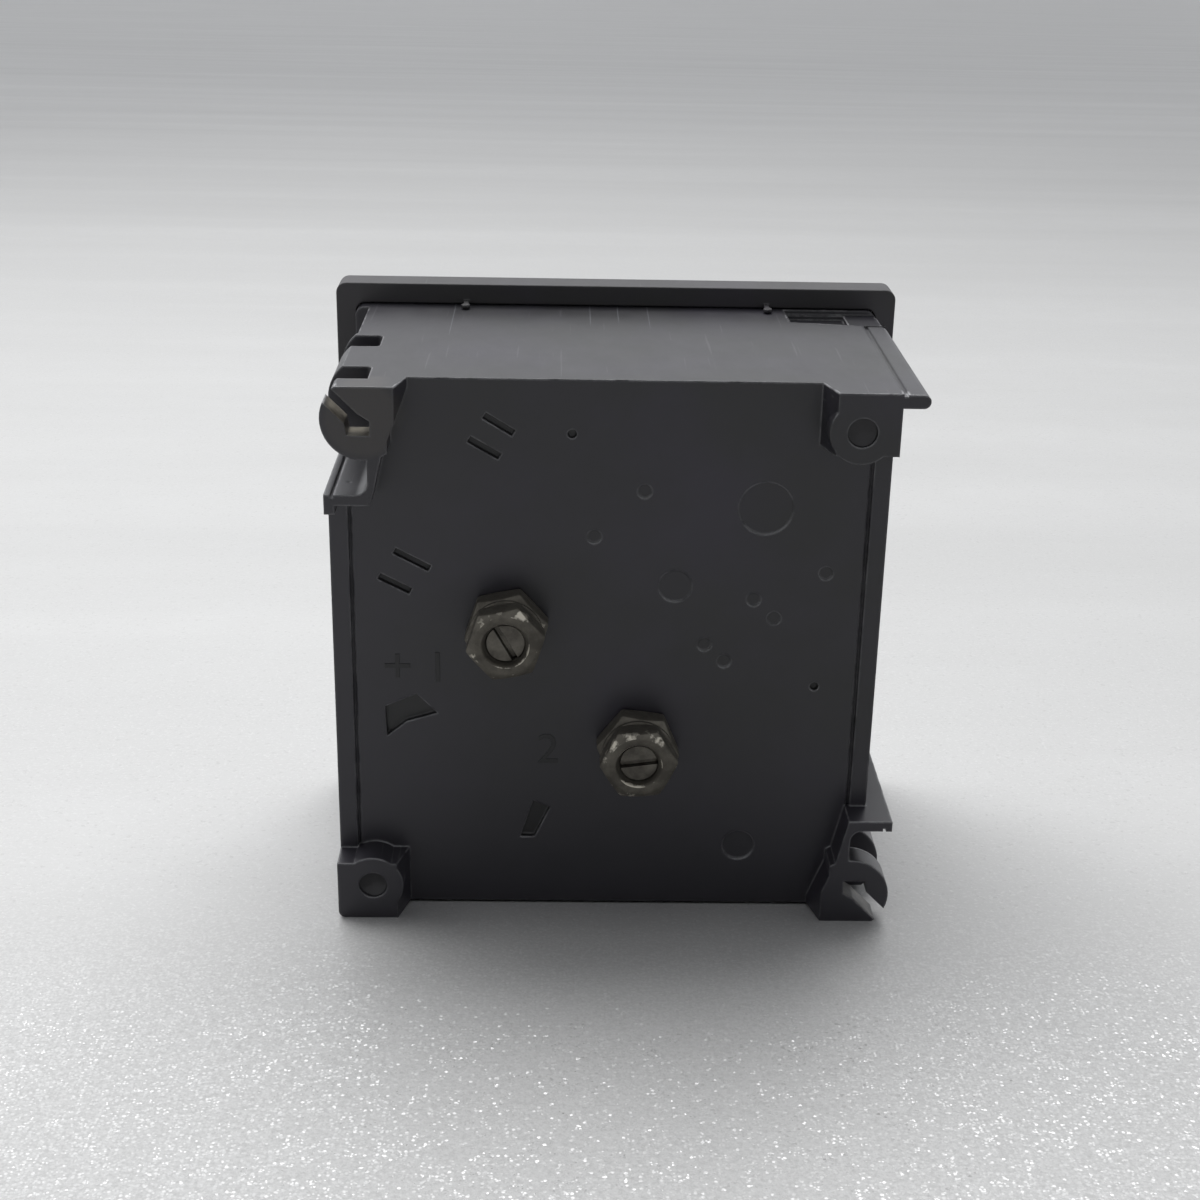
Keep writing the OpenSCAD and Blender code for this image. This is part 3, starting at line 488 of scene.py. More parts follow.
# name: bright colour, dull colour, least and most roughness, other settings
METALS = {
    "terminal_brown": ((0.115, 0.106, 0.088), (0.068, 0.062, 0.052), 0.5, 0.66,
                       {"metal": 0.6, "bare": (0.50, 0.47, 0.40)}),
    "stud_metal": ((0.125, 0.117, 0.100), (0.066, 0.060, 0.052), 0.35, 0.55, {"metal": 0.8}),
    "screw_steel": ((0.55, 0.55, 0.56), (0.32, 0.31, 0.30), 0.25, 0.42, {}),
    "soft_iron": ((0.36, 0.36, 0.37), (0.20, 0.20, 0.20), 0.35, 0.5, GRAIN_ALONG_Y),
    "magnet_grey": ((0.26, 0.26, 0.27), (0.15, 0.15, 0.15), 0.4, 0.6, {"metal": 0.8}),
    "brass_parts": ((0.72, 0.55, 0.26), (0.45, 0.32, 0.14), 0.24, 0.4, {}),
    "cast_metal": ((0.62, 0.63, 0.64), (0.46, 0.46, 0.46), 0.45, 0.6, {"grain": 1800}),
    "thin_aluminium": ((0.80, 0.80, 0.82), (0.62, 0.62, 0.63), 0.25, 0.35, GRAIN_ALONG_Y),
    "lug_copper": ((0.66, 0.34, 0.20), (0.36, 0.17, 0.10), 0.28, 0.45, {}),
    "manganin": ((0.45, 0.35, 0.27), (0.28, 0.21, 0.16), 0.32, 0.45, GRAIN_ALONG_Y),
    "spring_bronze": ((0.70, 0.50, 0.26), (0.50, 0.34, 0.16), 0.2, 0.3, {}),
}
for name, (*numbers, more) in METALS.items():
    finishes[name] = tarnished(name, *numbers, **more)
print("metal finishes:", len(METALS))

# %% [markdown]
# The remaining finishes are matt skins and the window: white lacquer on the dial, black
# ink and paint, the darker black of the terminal marks, which is painted shade, rubber,
# sealing wax, the grey carrier, clear glass and enamelled coil wire. A painted or rubbery
# skin is never one flat colour, so each drifts a little in tone and gloss and has a fine
# grain. The wire's turns are bands of a wave, because thousands of real turns would be far
# too many faces for a part that hardly shows; the dark part of each band is painted shade
# between the turns.

# %% Dial-side finishes
def plain_skin(name, colour, rough, grain, depth, darker_by):
    """A painted or rubbery skin: slight colour drift and a fine bump."""
    material, tree, shader = new_finish(name, colour, rough)
    vector = object_coords(tree)
    darker = tuple(v * (1 - darker_by) for v in colour)
    tone = mix_colours(tree, noise(tree, vector, 60, 3), colour, darker)
    gloss = remap(tree, noise(tree, vector, 400, 3), 0.3, 0.7, rough - 0.04, rough + 0.05)
    tree.links.new(tone, shader.inputs["Base Color"])
    tree.links.new(gloss, shader.inputs["Roughness"])
    bump(tree, shader, noise(tree, vector, grain, 2), depth, 0.4)
    return material


def window_clear():
    """Clear sheet glass with a trace of green and very fine wiping marks in its gloss."""
    material, tree, shader = new_finish("window_clear", (0.985, 1.0, 0.992), 0.02,
                                        IOR=1.5, Transmission_Weight=1.0)
    wiping = noise(tree, object_coords(tree, (1, 1, 0.1)), 300, 3)
    tree.links.new(remap(tree, wiping, 0.4, 0.8, 0.0, 0.04), shader.inputs["Roughness"])
    return material


def wound_wire():
    """Enamelled wire wound in a ring: fine bands across X, with painted shade between the turns.
    """
    wire = 0.16 * MM
    material, tree, shader = new_finish("wound_wire", (0.45, 0.17, 0.06), 0.3, Metallic=0.7)
    sockets = {"Vector": object_coords(tree), "Scale": 1 / (wire * 2 * math.pi)}
    turns = add_node(tree, "TexWave", sockets, bands_direction="X").outputs["Fac"]
    # painted shade: the dark part of each band, between the turns
    tone = mix_colours(tree, turns, (0.16, 0.05, 0.02), (0.55, 0.22, 0.08))
    tree.links.new(tone, shader.inputs["Base Color"])
    bump(tree, shader, turns, 0.06 * MM, 0.8)
    return material


# name: colour, roughness, grains per metre, depth of the grain, share that is darker
SKINS = {
    "dial_white": ((0.86, 0.86, 0.82), 0.5, 3000, 0.01 * MM, 0.03),
    "seal_rubber": ((0.025, 0.025, 0.025), 0.75, 2500, 0.03 * MM, 0.3),
    # a little darker than the moulding: painted shade for the terminal marks
    "mark_painted_shade": ((0.010, 0.010, 0.011), 0.45, 3000, 0.01 * MM, 0.2),
    "wax_dark": ((0.024, 0.023, 0.025), 0.6, 900, 0.08 * MM, 0.35),
    "print_black": ((0.02, 0.02, 0.02), 0.55, 3000, 0.01 * MM, 0.2),
    "carrier_grey": ((0.16, 0.16, 0.17), 0.5, 2500, 0.02 * MM, 0.15),
}
for name, numbers in SKINS.items():
    finishes[name] = plain_skin(name, *numbers)
finishes["window_clear"] = window_clear()
finishes["wound_wire"] = wound_wire()
print("dial-side finishes:", len(SKINS) + 2)

# %% [markdown]
# Each node of the frame keeps its shape and gets the finish of its real material, the
# nodes that a new piece will stand for as well.

# %% Finishes on the nodes
FINISH_OF = {
    "case_black": ["housing"],
    "frame_black": ["bezel_frame", "zero_screw"],
    "window_clear": ["window_glass"],
    "seal_rubber": ["window_seal"],
    "dial_white": ["dial_plate"],
    "print_black": ["pointer", "pointer_stops"],
    "carrier_grey": ["dial_carrier"],
    "cast_metal": ["movement_frame"],
    "soft_iron": ["yoke_ring"],
    "magnet_grey": ["core_magnet"],
    "brass_parts": ["front_bridge", "rear_bridge", "jewel_screw_front", "jewel_screw_rear",
                    "balance_weights", "zero_lever"],
    "screw_steel": ["dial_screws", "carrier_screws", "frame_screws", "bridge_bolts",
                    "pivot_front", "pivot_rear", "zero_clip"],
    "thin_aluminium": ["coil_former"],
    "wound_wire": ["coil_winding"],
    "spring_bronze": ["hairspring_front", "hairspring_rear"],
    "terminal_brown": ["stud_plus", "stud_minus", "base_nuts", "terminal_washers",
                       "terminal_nuts", "stud_nuts"],
    "lug_copper": ["shunt_lugs"],
    "manganin": ["shunt_strip"],
}


def dress(obj, material):
    """Puts one material on every slot of an object."""
    obj.data.materials.clear()
    obj.data.materials.append(material)


for finish, names in FINISH_OF.items():
    for name in names:
        dress(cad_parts[name], finishes[finish])
print("nodes dressed:", sum(map(len, FINISH_OF.values())), "of", len(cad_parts))

# %% [markdown]
# ## Softened edges
# A moulding never has a knife edge: the mould's own corners are a tenth or two of a
# millimetre round, and that small round is what catches the light as a thin bright line.
# A copy of the CAD mesh has its loose triangles joined and its flat areas merged, and a
# narrow Bevel rounds every edge that turns sharply. The copy then stands for the node.
# The front frame is simple enough for that, and so are the slotted studs further on.

# %% Front frame with softened edges
SHARP_DEGREES = 38


def softened(name, node, width):
    """A joined copy of a CAD node, with flat faces merged and its sharp edges bevelled."""
    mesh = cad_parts[node].data.copy()
    mesh.name = name
    work = bmesh.new()
    work.from_mesh(mesh)
    bmesh.ops.remove_doubles(work, verts=work.verts, dist=0.002 * MM)
    bmesh.ops.dissolve_limit(work, angle_limit=math.radians(0.4), verts=work.verts,
                             edges=work.edges)
    work.to_mesh(mesh)
    work.free()
    obj = add_object(name, mesh)
    bevel = obj.modifiers.new("soft_edges", "BEVEL")
    bevel.width = width
    bevel.segments = 2
    bevel.limit_method = "ANGLE"
    bevel.angle_limit = math.radians(SHARP_DEGREES)
    bevel.use_clamp_overlap = False
    bevel.loop_slide = False
    obj.modifiers.new("flat_faces", "WEIGHTED_NORMAL").weight = 100
    shade_smooth(mesh)
    return obj


def stand_for(obj, body, slot_name, material, *nodes):
    """Dresses a finished piece and lets it ride on its body, in place of some nodes."""
    dress(obj, material)
    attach(obj, body)
    if nodes:
        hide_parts(*nodes)
    return obj


front_frame = stand_for(softened("front_frame", "bezel_frame", 0.16 * MM), "case",
                        "frame_black", finishes["frame_black"], "bezel_frame")
print("frame faces:", len(front_frame.data.polygons))

# %% [markdown]
# ## Terminal nuts and washers
# A real hexagon nut is cut from a bar and its corners are turned down by a shallow cone,
# so each flat ends in a curved line. That line appears by itself when the profile is
# carried round the axis and its outer point lies on the hexagon: the cone's height
# follows the distance from the axis. Inside, the thread is a wave that climbs one
# pitch in each turn.

# %% Shape of a nut
STUD_R = 3.0 * MM
PITCH = 1.0 * MM
THREAD_DEPTH, THREAD_GAP = 0.33 * MM, 0.03 * MM
SOFT = 0.07 * MM
CORNER = 1.137  # how far a corner reaches, over half the flats; a sharp one has 1.155


def ring_grid(centre, angles, radius, height):
    """Points round an axis along Y: radius and height are arrays of angle by profile step."""
    return np.stack([centre[0] + radius * np.cos(angles)[:, None], height,
                     centre[1] + radius * np.sin(angles)[:, None]], axis=-1)


def closed_ring(name, centre, angles, radius, height):
    """An object from a ring of closed profiles."""
    points = ring_grid(centre, angles, radius, height)
    return add_object(name, grid_mesh(name, points, closed_u=True, closed_v=True))


def hex_nut(name, centre, y0, y1, turn, flats, flat_r, sink):
    """Hexagon nut as a ring of closed profiles.

    Distance to a flat is half the flats over the cosine of the angle from the flat's
    middle, a little less at the corners. Beyond flat_r the end faces fall away by 30
    degrees. The bore's radius is a triangle wave of height minus angle times pitch, and
    it opens in a cone of depth sink.
    """
    offsets = np.concatenate([[0, 0.8, 1.8, 3.5], np.linspace(6, 54, 17), [56.5, 58.2, 59.2]])
    angles = np.radians(turn + (np.arange(6)[:, None] * 60 + offsets[None, :]).ravel())
    from_flat = np.radians((np.degrees(angles) - turn) % 60 - 30)
    side = np.minimum(flats / 2 / np.cos(from_flat), flats / 2 * CORNER)
    fall = (side - flat_r) * math.tan(math.radians(30))
    depth = np.linspace(y0 + 0.3 * MM, y1 - sink, 30)
    turns = (depth[None, :] / PITCH - angles[:, None] / (2 * math.pi)) % 1.0
    thread = STUD_R + THREAD_GAP + THREAD_DEPTH * np.abs(2 * turns - 1)
    mouth = STUD_R + sink * 0.7
    # radius and height of each further point of the profile, from the mouth of the bore
    # over the upper face, down the side and back along the lower face
    outline = [
        (mouth, y1 - 0.04 * MM), (mouth + SOFT, y1),
        (flat_r - SOFT, y1), (flat_r + SOFT, y1 - SOFT * 0.5),
        (side - SOFT, y1 - fall + SOFT * 0.45), (side, y1 - fall - SOFT),
        (side, y0 + 0.5 * fall + SOFT), (side - SOFT, y0 + 0.5 * fall - SOFT * 0.3),
        (flat_r + SOFT, y0 + SOFT * 0.3), (flat_r - SOFT, y0),
        (STUD_R + 0.45 * MM, y0)]
    shape = (len(outline), len(angles))
    radius = np.array([np.broadcast_to(r, shape[1]) for r, _ in outline]).T
    height = np.array([np.broadcast_to(h, shape[1]) for _, h in outline]).T
    return closed_ring(name, centre, angles, np.hstack([thread, radius]),
                       np.hstack([np.tile(depth, (len(angles), 1)), height]))


def turned_ring(name, centre, profile, count=96):
    """A closed profile of radius and height carried round an axis along Y."""
    angles = np.linspace(0, 2 * math.pi, count, endpoint=False)
    radius, height = np.array(profile).T
    return closed_ring(name, centre, angles, np.tile(radius, (count, 1)),
                       np.tile(height, (count, 1)))


print("thread: pitch", PITCH / MM, "mm on a stud of radius", STUD_R / MM, "mm")

# %% [markdown]
# Each terminal has a wide base nut on the wall, a washer and a smaller outer nut. The
# pairs are joined, because a pair is one node in the frame. Points near an edge that
# tools and cable lugs touch are marked in an attribute, and the brown finish shows bare
# metal there: an attribute follows the edge, where a mask by place would need its height.

# %% Nuts and washers in place
TERMINALS = {"plus": (17.4 * MM, 4.8 * MM), "minus": (-3.5 * MM, -15.4 * MM)}
# across the flats, radius of the flat end face, depth of the bore's cone
OUTER_NUT, BASE_NUT = (10.8 * MM, 4.75 * MM, 0.95 * MM), (11.6 * MM, 5.5 * MM, 0.3 * MM)
NUT_TURNS, BASE_TURNS = (48, 57), (48, 7)
REAR_WALL, WASHER_Y, NUT_Y, NUT_END = 47.6 * MM, 51.2 * MM, 52.0 * MM, 56.0 * MM
WASHER = [
    (3.15 * MM, WASHER_Y + 0.02 * MM), (3.12 * MM, WASHER_Y + 0.1 * MM),
    (3.12 * MM, NUT_Y - 0.1 * MM), (3.15 * MM, NUT_Y - 0.01 * MM),
    (5.6 * MM, NUT_Y - 0.01 * MM), (5.75 * MM, NUT_Y - 0.1 * MM),
    (5.78 * MM, NUT_Y - 0.25 * MM), (5.78 * MM, WASHER_Y + 0.25 * MM),
    (5.72 * MM, WASHER_Y + 0.08 * MM), (5.6 * MM, WASHER_Y + 0.02 * MM)]


def joined(name, parts, smooth=True):
    """One object from several, all with their points already in place."""
    work = bmesh.new()
    for part in parts:
        work.from_mesh(part.data)
    bmesh.ops.remove_doubles(work, verts=work.verts, dist=0.0005 * MM)
    if not smooth:
        bmesh.ops.recalc_face_normals(work, faces=work.faces)
    mesh = bpy.data.meshes.new(name)
    work.to_mesh(mesh)
    work.free()
    for part in parts:
        bpy.data.objects.remove(part)
    shade_smooth(mesh, smooth)
    return add_object(name, mesh)


def mark_worn(obj, low_y, rim_r, ring_r=0.0):
    """Writes the attribute worn on the points of a piece.

    It is 1 above low_y and outside rim_r of the point's own axis, and 2 at the outer
    nuts' upper end inside ring_r, which is the edge of the bore.
    """
    points = np.empty(len(obj.data.vertices) * 3)
    obj.data.vertices.foreach_get("co", points)
    x, y, z = points.reshape(-1, 3).T
    from_axis = np.min([np.hypot(x - cx, z - cz) for cx, cz in TERMINALS.values()], axis=0)
    rim = (y > low_y) & (from_axis > rim_r)
    ring = (y > NUT_END - 0.1 * MM) & (from_axis < ring_r)
    layer = obj.data.attributes.new("worn", "FLOAT", "POINT")
    layer.data.foreach_set("value", (1.0 * rim + 2.0 * ring).astype(np.float32))
    return obj


outer_nuts, base_nuts, washers = [], [], []
for (label, centre), turn, base_turn in zip(TERMINALS.items(), NUT_TURNS, BASE_TURNS):
    outer_nuts.append(hex_nut("nut_" + label, centre, NUT_Y, NUT_END, turn, *OUTER_NUT))
    base_nuts.append(hex_nut("base_" + label, centre, REAR_WALL, WASHER_Y, base_turn,
                             *BASE_NUT))
    washers.append(turned_ring("washer_" + label, centre, WASHER))
outer_nuts = mark_worn(joined("outer_hex_nuts", outer_nuts), NUT_END - 1.2 * MM, 4.8 * MM,
                       ring_r=3.72 * MM)
base_nuts = mark_worn(joined("base_hex_nuts", base_nuts), WASHER_Y - 0.1 * MM, 5.45 * MM)
washers = mark_worn(joined("plain_washers", washers), NUT_Y, 5.7 * MM)
for obj, node in ((outer_nuts, "terminal_nuts"), (base_nuts, "base_nuts"),
                  (washers, "terminal_washers")):
    stand_for(obj, "case", "terminal_metal", finishes["terminal_brown"], node)
    print(obj.name, "faces:", len(obj.data.polygons))

# %% [markdown]
# The studs end in a screwdriver slot inside the nuts. Their CAD shape is right already
# and only its edges are too sharp, so a softened copy is enough.

# %% Studs
for node in ("stud_plus", "stud_minus"):
    stud = stand_for(softened("slotted_" + node, node, 0.12 * MM), "case", "terminal_metal",
                     finishes["stud_metal"], node)
    print(stud.name, "faces:", len(stud.data.polygons))

# %% [markdown]
# ## Sealing wax in the screw columns
# The screws that hold the case together sit deep in two corner columns. In the picture
# both holes look filled and dark; what fills them is a guess. Dark sealing compound is
# usual there, pressed in over the screw, and it sets with a dished, slightly lumpy top.
# Its profile is a shallow parabola of the distance from the axis plus a small wave.

# %% Wax plugs
COLUMNS = [(-35.2 * MM, 38.5 * MM), (38.8 * MM, -38.5 * MM)]
COLUMN_BORE = 2.25 * MM
WAX_TOP, WAX_BOTTOM = 52.2 * MM, 49.3 * MM
DISH, LOBE = 0.7 * MM, 0.12 * MM


def wax_plug(name, centre, top, bottom):
    """A closed plug whose profile runs from the axis over the top and back below.

    The top's height is a parabola plus a three-lobed wave that fades to the middle.
    """
    angles = np.linspace(0, 2 * math.pi, 48, endpoint=False)
    steps = np.linspace(0, 1, 14)
    flat = 0 * steps
    radius = np.concatenate([steps, [1.0], steps[::-1]]) * (COLUMN_BORE - 0.01 * MM)
    height = np.concatenate([top + steps ** 2 * DISH, [bottom + 0.05 * MM], bottom + flat])
    lobes = np.concatenate([steps * LOBE, [0], flat])
    height = height[None, :] + lobes[None, :] * np.sin(3 * angles + 1)[:, None]
    return closed_ring(name, centre, angles, np.tile(radius, (len(angles), 1)), height)


plugs = [wax_plug(f"wax_{k}", centre, WAX_TOP, WAX_BOTTOM) for k, centre in enumerate(COLUMNS)]
stand_for(joined("wax_plugs", plugs), "case", "seal", finishes["wax_dark"])
print("wax plugs:", len(COLUMNS), "bore", round(COLUMN_BORE / MM, 2), "mm")

# %% [markdown]
# ## Marks beside the terminals
# A plus sign and plain numbers tell the terminals apart. They belong to the moulding and
# stand a little proud with rounded edges, and their black is a little darker than the
# moulding's, as painted shade; that and the light on their edges show them. A text object
# gives the outlines, and it is made a mesh before it is placed.

# %% Terminal marks
def lettering(name, words, size, thick, to_world, round_off=0.0):
    """Flat lettering as a mesh; to_world turns its own x, y and height into places."""
    curve = bpy.data.curves.new(name, "FONT")
    curve.body = words
    curve.size = size
    curve.extrude = thick / 2
    curve.bevel_depth = round_off
    curve.bevel_resolution = 1
    curve.offset = -round_off
    curve.align_x, curve.align_y = "CENTER", "CENTER"
    curve.resolution_u = 8
    text = bpy.data.objects.new(name, curve)
    bpy.context.collection.objects.link(text)
    bpy.context.view_layer.update()
    finished = text.evaluated_get(bpy.context.evaluated_depsgraph_get())
    mesh = bpy.data.meshes.new_from_object(finished)
    bpy.data.objects.remove(text)
    points = np.empty(len(mesh.vertices) * 3)
    mesh.vertices.foreach_get("co", points)
    mesh.vertices.foreach_set("co", to_world(points.reshape(-1, 3)).ravel())
    mesh.update()
    return add_object(name, mesh)


def on_rear(x, z):
    """Places lettering on the rear wall, read from behind: right is -X and up is +Z."""
    return lambda q: np.stack([x - q[:, 0], REAR_WALL + q[:, 2], z + q[:, 1]], axis=1)


# text, height of the letters, and where they stand
MARKS = [("+", 8.5 * MM, 34.6 * MM, -2.7 * MM), ("1", 7.4 * MM, 28.3 * MM, -2.7 * MM),
         ("2", 7.4 * MM, 10.8 * MM, -16.8 * MM)]
MARK_THICK, MARK_ROUND = 0.16 * MM, 0.05 * MM
marks = [lettering(f"mark_{k}", words, size, MARK_THICK, on_rear(x, z), MARK_ROUND)
         for k, (words, size, x, z) in enumerate(MARKS)]
terminal_marks = stand_for(joined("terminal_marks", marks, smooth=False), "case",
                           "housing_black", finishes["mark_painted_shade"])
print("terminal marks: faces", len(terminal_marks.data.polygons))

# %% [markdown]
# ## Scale of the dial
# The front can't be seen in the picture, so the scale is the plain one that such a meter
# has: a quarter circle about the pointer's pivot, with short and long strokes and round
# numbers. It is thin ink on the plate. Each stroke is four points that run so that it
# faces the front, all strokes are one array, and Solidify gives the ink its thickness.

# %% Shape of the scale
PIVOT = (23.5 * MM, -23.5 * MM)
DIAL_Y = 0.2 * MM
INK = 0.03 * MM
SCALE_R = 51.0 * MM
STROKES = 51
NUMBERS_R = 60.3 * MM
SYMBOL_AT = (-33.5 * MM, -34.5 * MM)


def dial_point(value, radius):
    """A place on the dial: value 0 points to -X, value 1 to +Z, radius from the pivot."""
    angle = math.pi - np.asarray(value) * math.pi / 2
    return np.stack([PIVOT[0] + radius * np.cos(angle), np.full_like(angle, DIAL_Y),
                     PIVOT[1] + radius * np.sin(angle)], axis=-1)


def scale_arc():
    """The arc as many short quads between two radii."""
    edge = np.linspace(0, 1, 181)
    outside = SCALE_R + 0.35 * MM
    return np.stack([dial_point(edge[:-1], SCALE_R), dial_point(edge[1:], SCALE_R),
                     dial_point(edge[1:], outside), dial_point(edge[:-1], outside)], axis=1)


def scale_strokes():
    """One quad for each stroke; every tenth is the longest and widest."""
    steps = np.arange(STROKES)
    values = np.linspace(0, 1, STROKES)
    tens, fives = steps % 10 == 0, steps % 5 == 0
    reach = SCALE_R + np.where(tens, 5.0, np.where(fives, 3.8, 2.6)) * MM
    half = np.where(tens, 0.4, np.where(fives, 0.25, 0.14)) * MM
    angle = math.pi - values * math.pi / 2
    across = np.stack([-np.sin(angle), np.zeros_like(angle), np.cos(angle)], axis=-1)
    across = across * half[:, None]
    low, high = dial_point(values, SCALE_R), dial_point(values, reach)
    return np.stack([low + across, low - across, high - across, high + across], axis=1)


def direct_current_sign():
    """A long bar over three short ones, each a quad given by its middle and half width."""
    bars = np.array([(0, 1.9, 0), (-1.4, 0.42, -0.9), (0, 0.42, -0.9), (1.4, 0.42, -0.9)]) * MM
    middle, half, low = bars.T
    x = SYMBOL_AT[0] + np.stack([middle - half, middle + half, middle + half, middle - half], 1)
    z = SYMBOL_AT[1] + low[:, None] + np.array([0, 0, 0.3, 0.3]) * MM
    return np.stack([x, np.full_like(x, DIAL_Y), z], axis=-1)


quads = np.concatenate([scale_arc(), scale_strokes(), direct_current_sign()])
print("scale: quads", len(quads), "for", STROKES, "strokes, the arc and the sign")

# %% [markdown]
# The numbers and letters are ink too, so they are as thin as the strokes and lie in the
# same plane. Their doubles are merged when they are joined, as those of the strokes are.

# %% Ink on the dial
def on_dial(x, z):
    """Places lettering in the ink of the dial, read from the front: right is +X, up is +Z."""
    return lambda q: np.stack([x + q[:, 0], DIAL_Y - INK / 2 - q[:, 2], z + q[:, 1]], axis=1)


ink_mesh = bpy.data.meshes.new("scale_strokes")
ink_mesh.from_pydata(quads.reshape(-1, 3).tolist(), [],
                     np.arange(len(quads) * 4).reshape(-1, 4).tolist())
work = bmesh.new()
work.from_mesh(ink_mesh)
bmesh.ops.remove_doubles(work, verts=work.verts, dist=0.001 * MM)
work.to_mesh(ink_mesh)
work.free()
scale_ink = add_object("scale_strokes", ink_mesh)
thick = scale_ink.modifiers.new("ink", "SOLIDIFY")
thick.thickness = INK
thick.offset = 1.0
stand_for(scale_ink, "case", "dial_white", finishes["print_black"])

LABELS = [(str(20 * k), 4.6 * MM, *dial_point(k / 5, NUMBERS_R)[[0, 2]]) for k in range(6)]
LABELS += [("A", 9.5 * MM, -4.5 * MM, 3.5 * MM), ("1.5", 3.0 * MM, -26.5 * MM, -34.5 * MM)]
labels = [lettering(f"label_{k}", words, size, INK, on_dial(x, z))
          for k, (words, size, x, z) in enumerate(LABELS)]
stand_for(joined("scale_numbers", labels, smooth=False), "case", "dial_white",
          finishes["print_black"])
print("labels on the dial:", [words for words, *_ in LABELS])

# %% [markdown]
# The table is a pale sheet with a satin skin. Close to the camera it is grainy and full
# of tiny flakes that glint; further off it looks smooth, with faint clouds, and its long
# soft swells show as level bands of light and shade. The bands are painted light and
# shade: a noise stretched along X, and slow ramps along and across the sheet, because
# real swells would lift the meter. A flake is a round spot in a cell of a Voronoi pattern
# whose normal leans its own way: flat flakes would all mirror the dark body at once.

# %% Parts of the table's finish
PAPER_WHITE = (1.0, 1.0, 0.995)


def tone_ramp(tree, value, stops):
    """A grey ramp: stops are pairs of place (0 to 1) and brightness."""
    ramp = tree.nodes.new("ShaderNodeValToRGB")
    ramp.color_ramp.interpolation = "B_SPLINE"
    line = ramp.color_ramp.elements
    while len(line) < len(stops):
        line.new(0.5)
    for stop, (place, grey) in zip(line, stops):
        stop.position = place
        stop.color = (grey, grey, grey, 1.0)
    tree.links.new(value, ramp.inputs["Fac"])
    return ramp.outputs["Color"]


def sparkle(tree, vector, scale):
    """Small round flakes, scale to the metre.

    Hands back a mask with a random strength for each flake, and a random colour that
    serves as its tilt.
    """
    cells = add_node(tree, "TexVoronoi", {"Vector": vector, "Scale": scale},
                     voronoi_dimensions="2D")
    round_grain = remap(tree, cells.outputs["Distance"], 0.36, 0.20)
    strength = remap(tree, parts_of(tree, cells.outputs["Color"])[0], 0.28, 0.92)
    return times(tree, round_grain, strength), cells.outputs["Color"]


def tilted_normal(tree, mask, random_colour, strength):
    """The surface normal leaned over by a random amount where mask is 1."""
    lean = vector_step(tree, "SUBTRACT", random_colour, (0.5, 0.5, 0.5))[0]
    sockets = {0: lean, "Scale": times(tree, mask, strength)}
    scaled = add_node(tree, "VectorMath", sockets, operation="SCALE").outputs[0]
    total = vector_step(tree, "ADD", true_normal(tree), scaled)[0]
    return add_node(tree, "VectorMath", {0: total}, operation="NORMALIZE").outputs[0]


def smooth_sheet(tree, vector, place, specks):
    """The tone away from the camera: painted bands of light and shade along X, clouds, small pits
    and pale specks.
    """
    # painted light and shade: bands along X
    bands = remap(tree, noise(tree, object_coords(tree, (0.12, 1, 1)), 13, 4, 0.5), 0.3, 0.7)
    clouds = remap(tree, noise(tree, vector, 60, 4), 0.3, 0.7, 0.0, 0.3)
    pits = remap(tree, noise(tree, vector, 900, 2, 0.7), 0.40, 0.30)
    clear = remap(tree, place[1], -0.15, 0.05, 0.25, 1.0)
    tone = mix_colours(tree, bands, (0.83, 0.83, 0.825), (0.93, 0.93, 0.925))
    tone = mix_colours(tree, clouds, tone, (0.83, 0.825, 0.815))
    tone = mix_colours(tree, times(tree, pits, 0.5), tone, (0.70, 0.695, 0.685))
    return mix_colours(tree, times(tree, specks, clear), tone, PAPER_WHITE)


print("helpers for the table are ready")

# %% [markdown]
# The finish joins those parts. Far from the meter, the sideways ramp widens with the
# distance, so that it roughly keeps its width in the picture.

# %% Table finish
# painted light and shade: the sheet's tone along Y, from the camera past the meter to far off,
# and across X
ALONG_STOPS = [(0.0, 0.94), (0.05, 0.88), (0.08, 0.84), (0.13, 0.78), (0.20, 0.69),
               (0.30, 0.65), (0.42, 0.80), (0.6, 1.04), (1.0, 1.06)]
ACROSS_STOPS = [(0.0, 0.87), (0.5, 0.97), (1.0, 1.06)]
# Y where the grain sets in, Y from end to end of the ramp, and flakes to the metre
NEAR_Y = (0.045, 0.090)
RAMP_Y = (0.2, -3.8)
FLAKES = (1150, 1750)


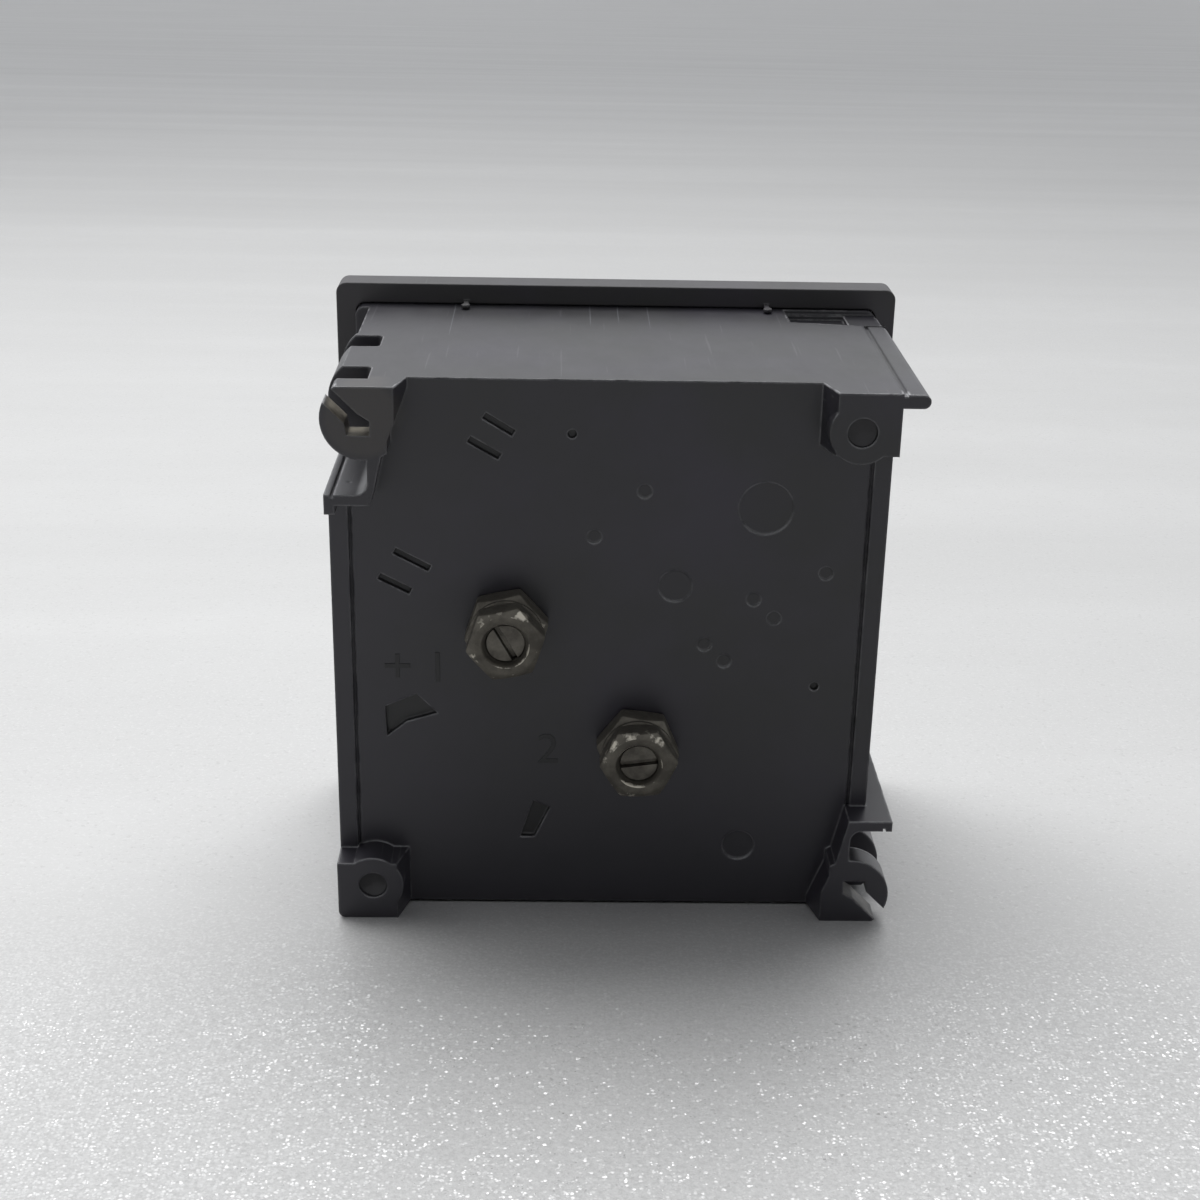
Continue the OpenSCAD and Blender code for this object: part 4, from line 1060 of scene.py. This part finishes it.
def table_finish():
    """The pale sheet: smooth far away, grainy and glinting near, shaded by two ramps."""
    material, tree, shader = new_finish("table_pale", (0.75, 0.75, 0.74), 0.42)
    vector = object_coords(tree)
    place = parts_of(tree, vector)
    grains = noise(tree, vector, 1500, 3, 0.75)
    specks = remap(tree, grains, 0.54, 0.68)
    near = remap(tree, place[1], *NEAR_Y)
    large, lean = sparkle(tree, vector, FLAKES[0])
    small = sparkle(tree, vector, FLAKES[1])[0]
    clumps = remap(tree, noise(tree, vector, 200, 3), 0.36, 0.62, 0.6, 1.0)
    flakes = times(tree, number(tree, "MAXIMUM", large, small), clumps)
    grainy = mix_colours(tree, remap(tree, grains, 0.35, 0.6), (0.71, 0.71, 0.705),
                         (0.86, 0.86, 0.855))
    grainy = mix_colours(tree, flakes, grainy, PAPER_WHITE)
    tone = mix_colours(tree, near, smooth_sheet(tree, vector, place, specks), grainy)
    # painted light and shade: the along ramp darkens the sheet from the camera side past the
    # meter and lightens it far off; the across ramp lightens it towards +X
    along = tone_ramp(tree, remap(tree, place[1], *RAMP_Y), ALONG_STOPS)
    widening = number(tree, "MAXIMUM", 1.0, number(tree, "SUBTRACT", 1.2, place[1]))
    aside = number(tree, "DIVIDE", place[0], widening)
    across = tone_ramp(tree, remap(tree, aside, -0.24, 0.24), ACROSS_STOPS)
    tone = mix_colours(tree, 1.0, tone, along, "MULTIPLY")
    tone = mix_colours(tree, 1.0, tone, across, "MULTIPLY")
    glint = times(tree, flakes, near)
    gloss = remap(tree, number(tree, "MAXIMUM", specks, glint), 0, 1, 0.5, 0.3)
    tree.links.new(tone, shader.inputs["Base Color"])
    tree.links.new(times(tree, glint, 0.32), shader.inputs["Metallic"])
    tree.links.new(gloss, shader.inputs["Roughness"])
    bump(tree, shader, noise(tree, vector, 700, 3), 0.3 * MM, 0.35,
         below=tilted_normal(tree, glint, lean, 0.9))
    return material


dress(table, table_finish())
print("table finish:", table.data.materials[0].name)

# %% [markdown]
# Light comes mostly from above and behind, as from a pale ceiling with a window: the far
# half of the sky is bright and the half behind the camera dim, so the rear wall is dark,
# the top wall mirrors the sky and the shadow falls towards the camera. Two soft panels
# add to that, a large one above and a weak one at the side. Camera, mirror and glass
# rays see a plain pale room, so that metal and glass show the background too.

# %% Light and room
def soft_panel(name, place, width, height, glow):
    """A rectangular area light at place, facing the meter; glow 1 makes its face white."""
    data = bpy.data.lights.new(name, "AREA")
    data.shape = "RECTANGLE"
    data.size, data.size_y = width, height
    data.energy = glow * math.pi * width * height
    light = bpy.data.objects.new(name, data)
    bpy.context.collection.objects.link(light)
    light.location = place
    light.rotation_euler = (-Vector(place)).to_track_quat("-Z", "Y").to_euler()


def room_sky(toward, dim, bright, seen):
    """World light: dim on one side, bright round the direction toward.

    Rays that show the room itself see one even tone instead.
    """
    world = bpy.data.worlds.new("room")
    bpy.context.scene.world = world
    world.use_nodes = True
    tree = world.node_tree
    outward = tree.nodes.new("ShaderNodeTexCoord").outputs["Generated"]
    facing = vector_step(tree, "DOT_PRODUCT", outward, Vector(toward).normalized())["Value"]
    glow = remap(tree, facing, 0.0, 0.8, dim, bright)
    ray = tree.nodes.new("ShaderNodeLightPath").outputs
    shown = number(tree, "MAXIMUM", ray["Is Camera Ray"], ray["Is Glossy Ray"])
    shown = number(tree, "MAXIMUM", shown, ray["Is Transmission Ray"])
    final = add_node(tree, "Mix", {0: shown, 2: glow, 3: seen}, data_type="FLOAT")
    background = tree.nodes["Background"]
    background.inputs["Color"].default_value = (0.96, 0.975, 1.0, 1.0)
    tree.links.new(final.outputs[0], background.inputs["Strength"])


soft_panel("ceiling_panel", (0.12, -0.62, 1.15), width=1.3, height=0.8, glow=4.2)
soft_panel("side_panel", (1.1, -0.35, 0.75), width=0.8, height=0.8, glow=1.2)
room_sky(toward=(0, -0.8, 0.6), dim=0.015, bright=0.6, seen=0.88)
bpy.context.scene.view_settings.view_transform = "Standard"
print("lights: two panels and the room")
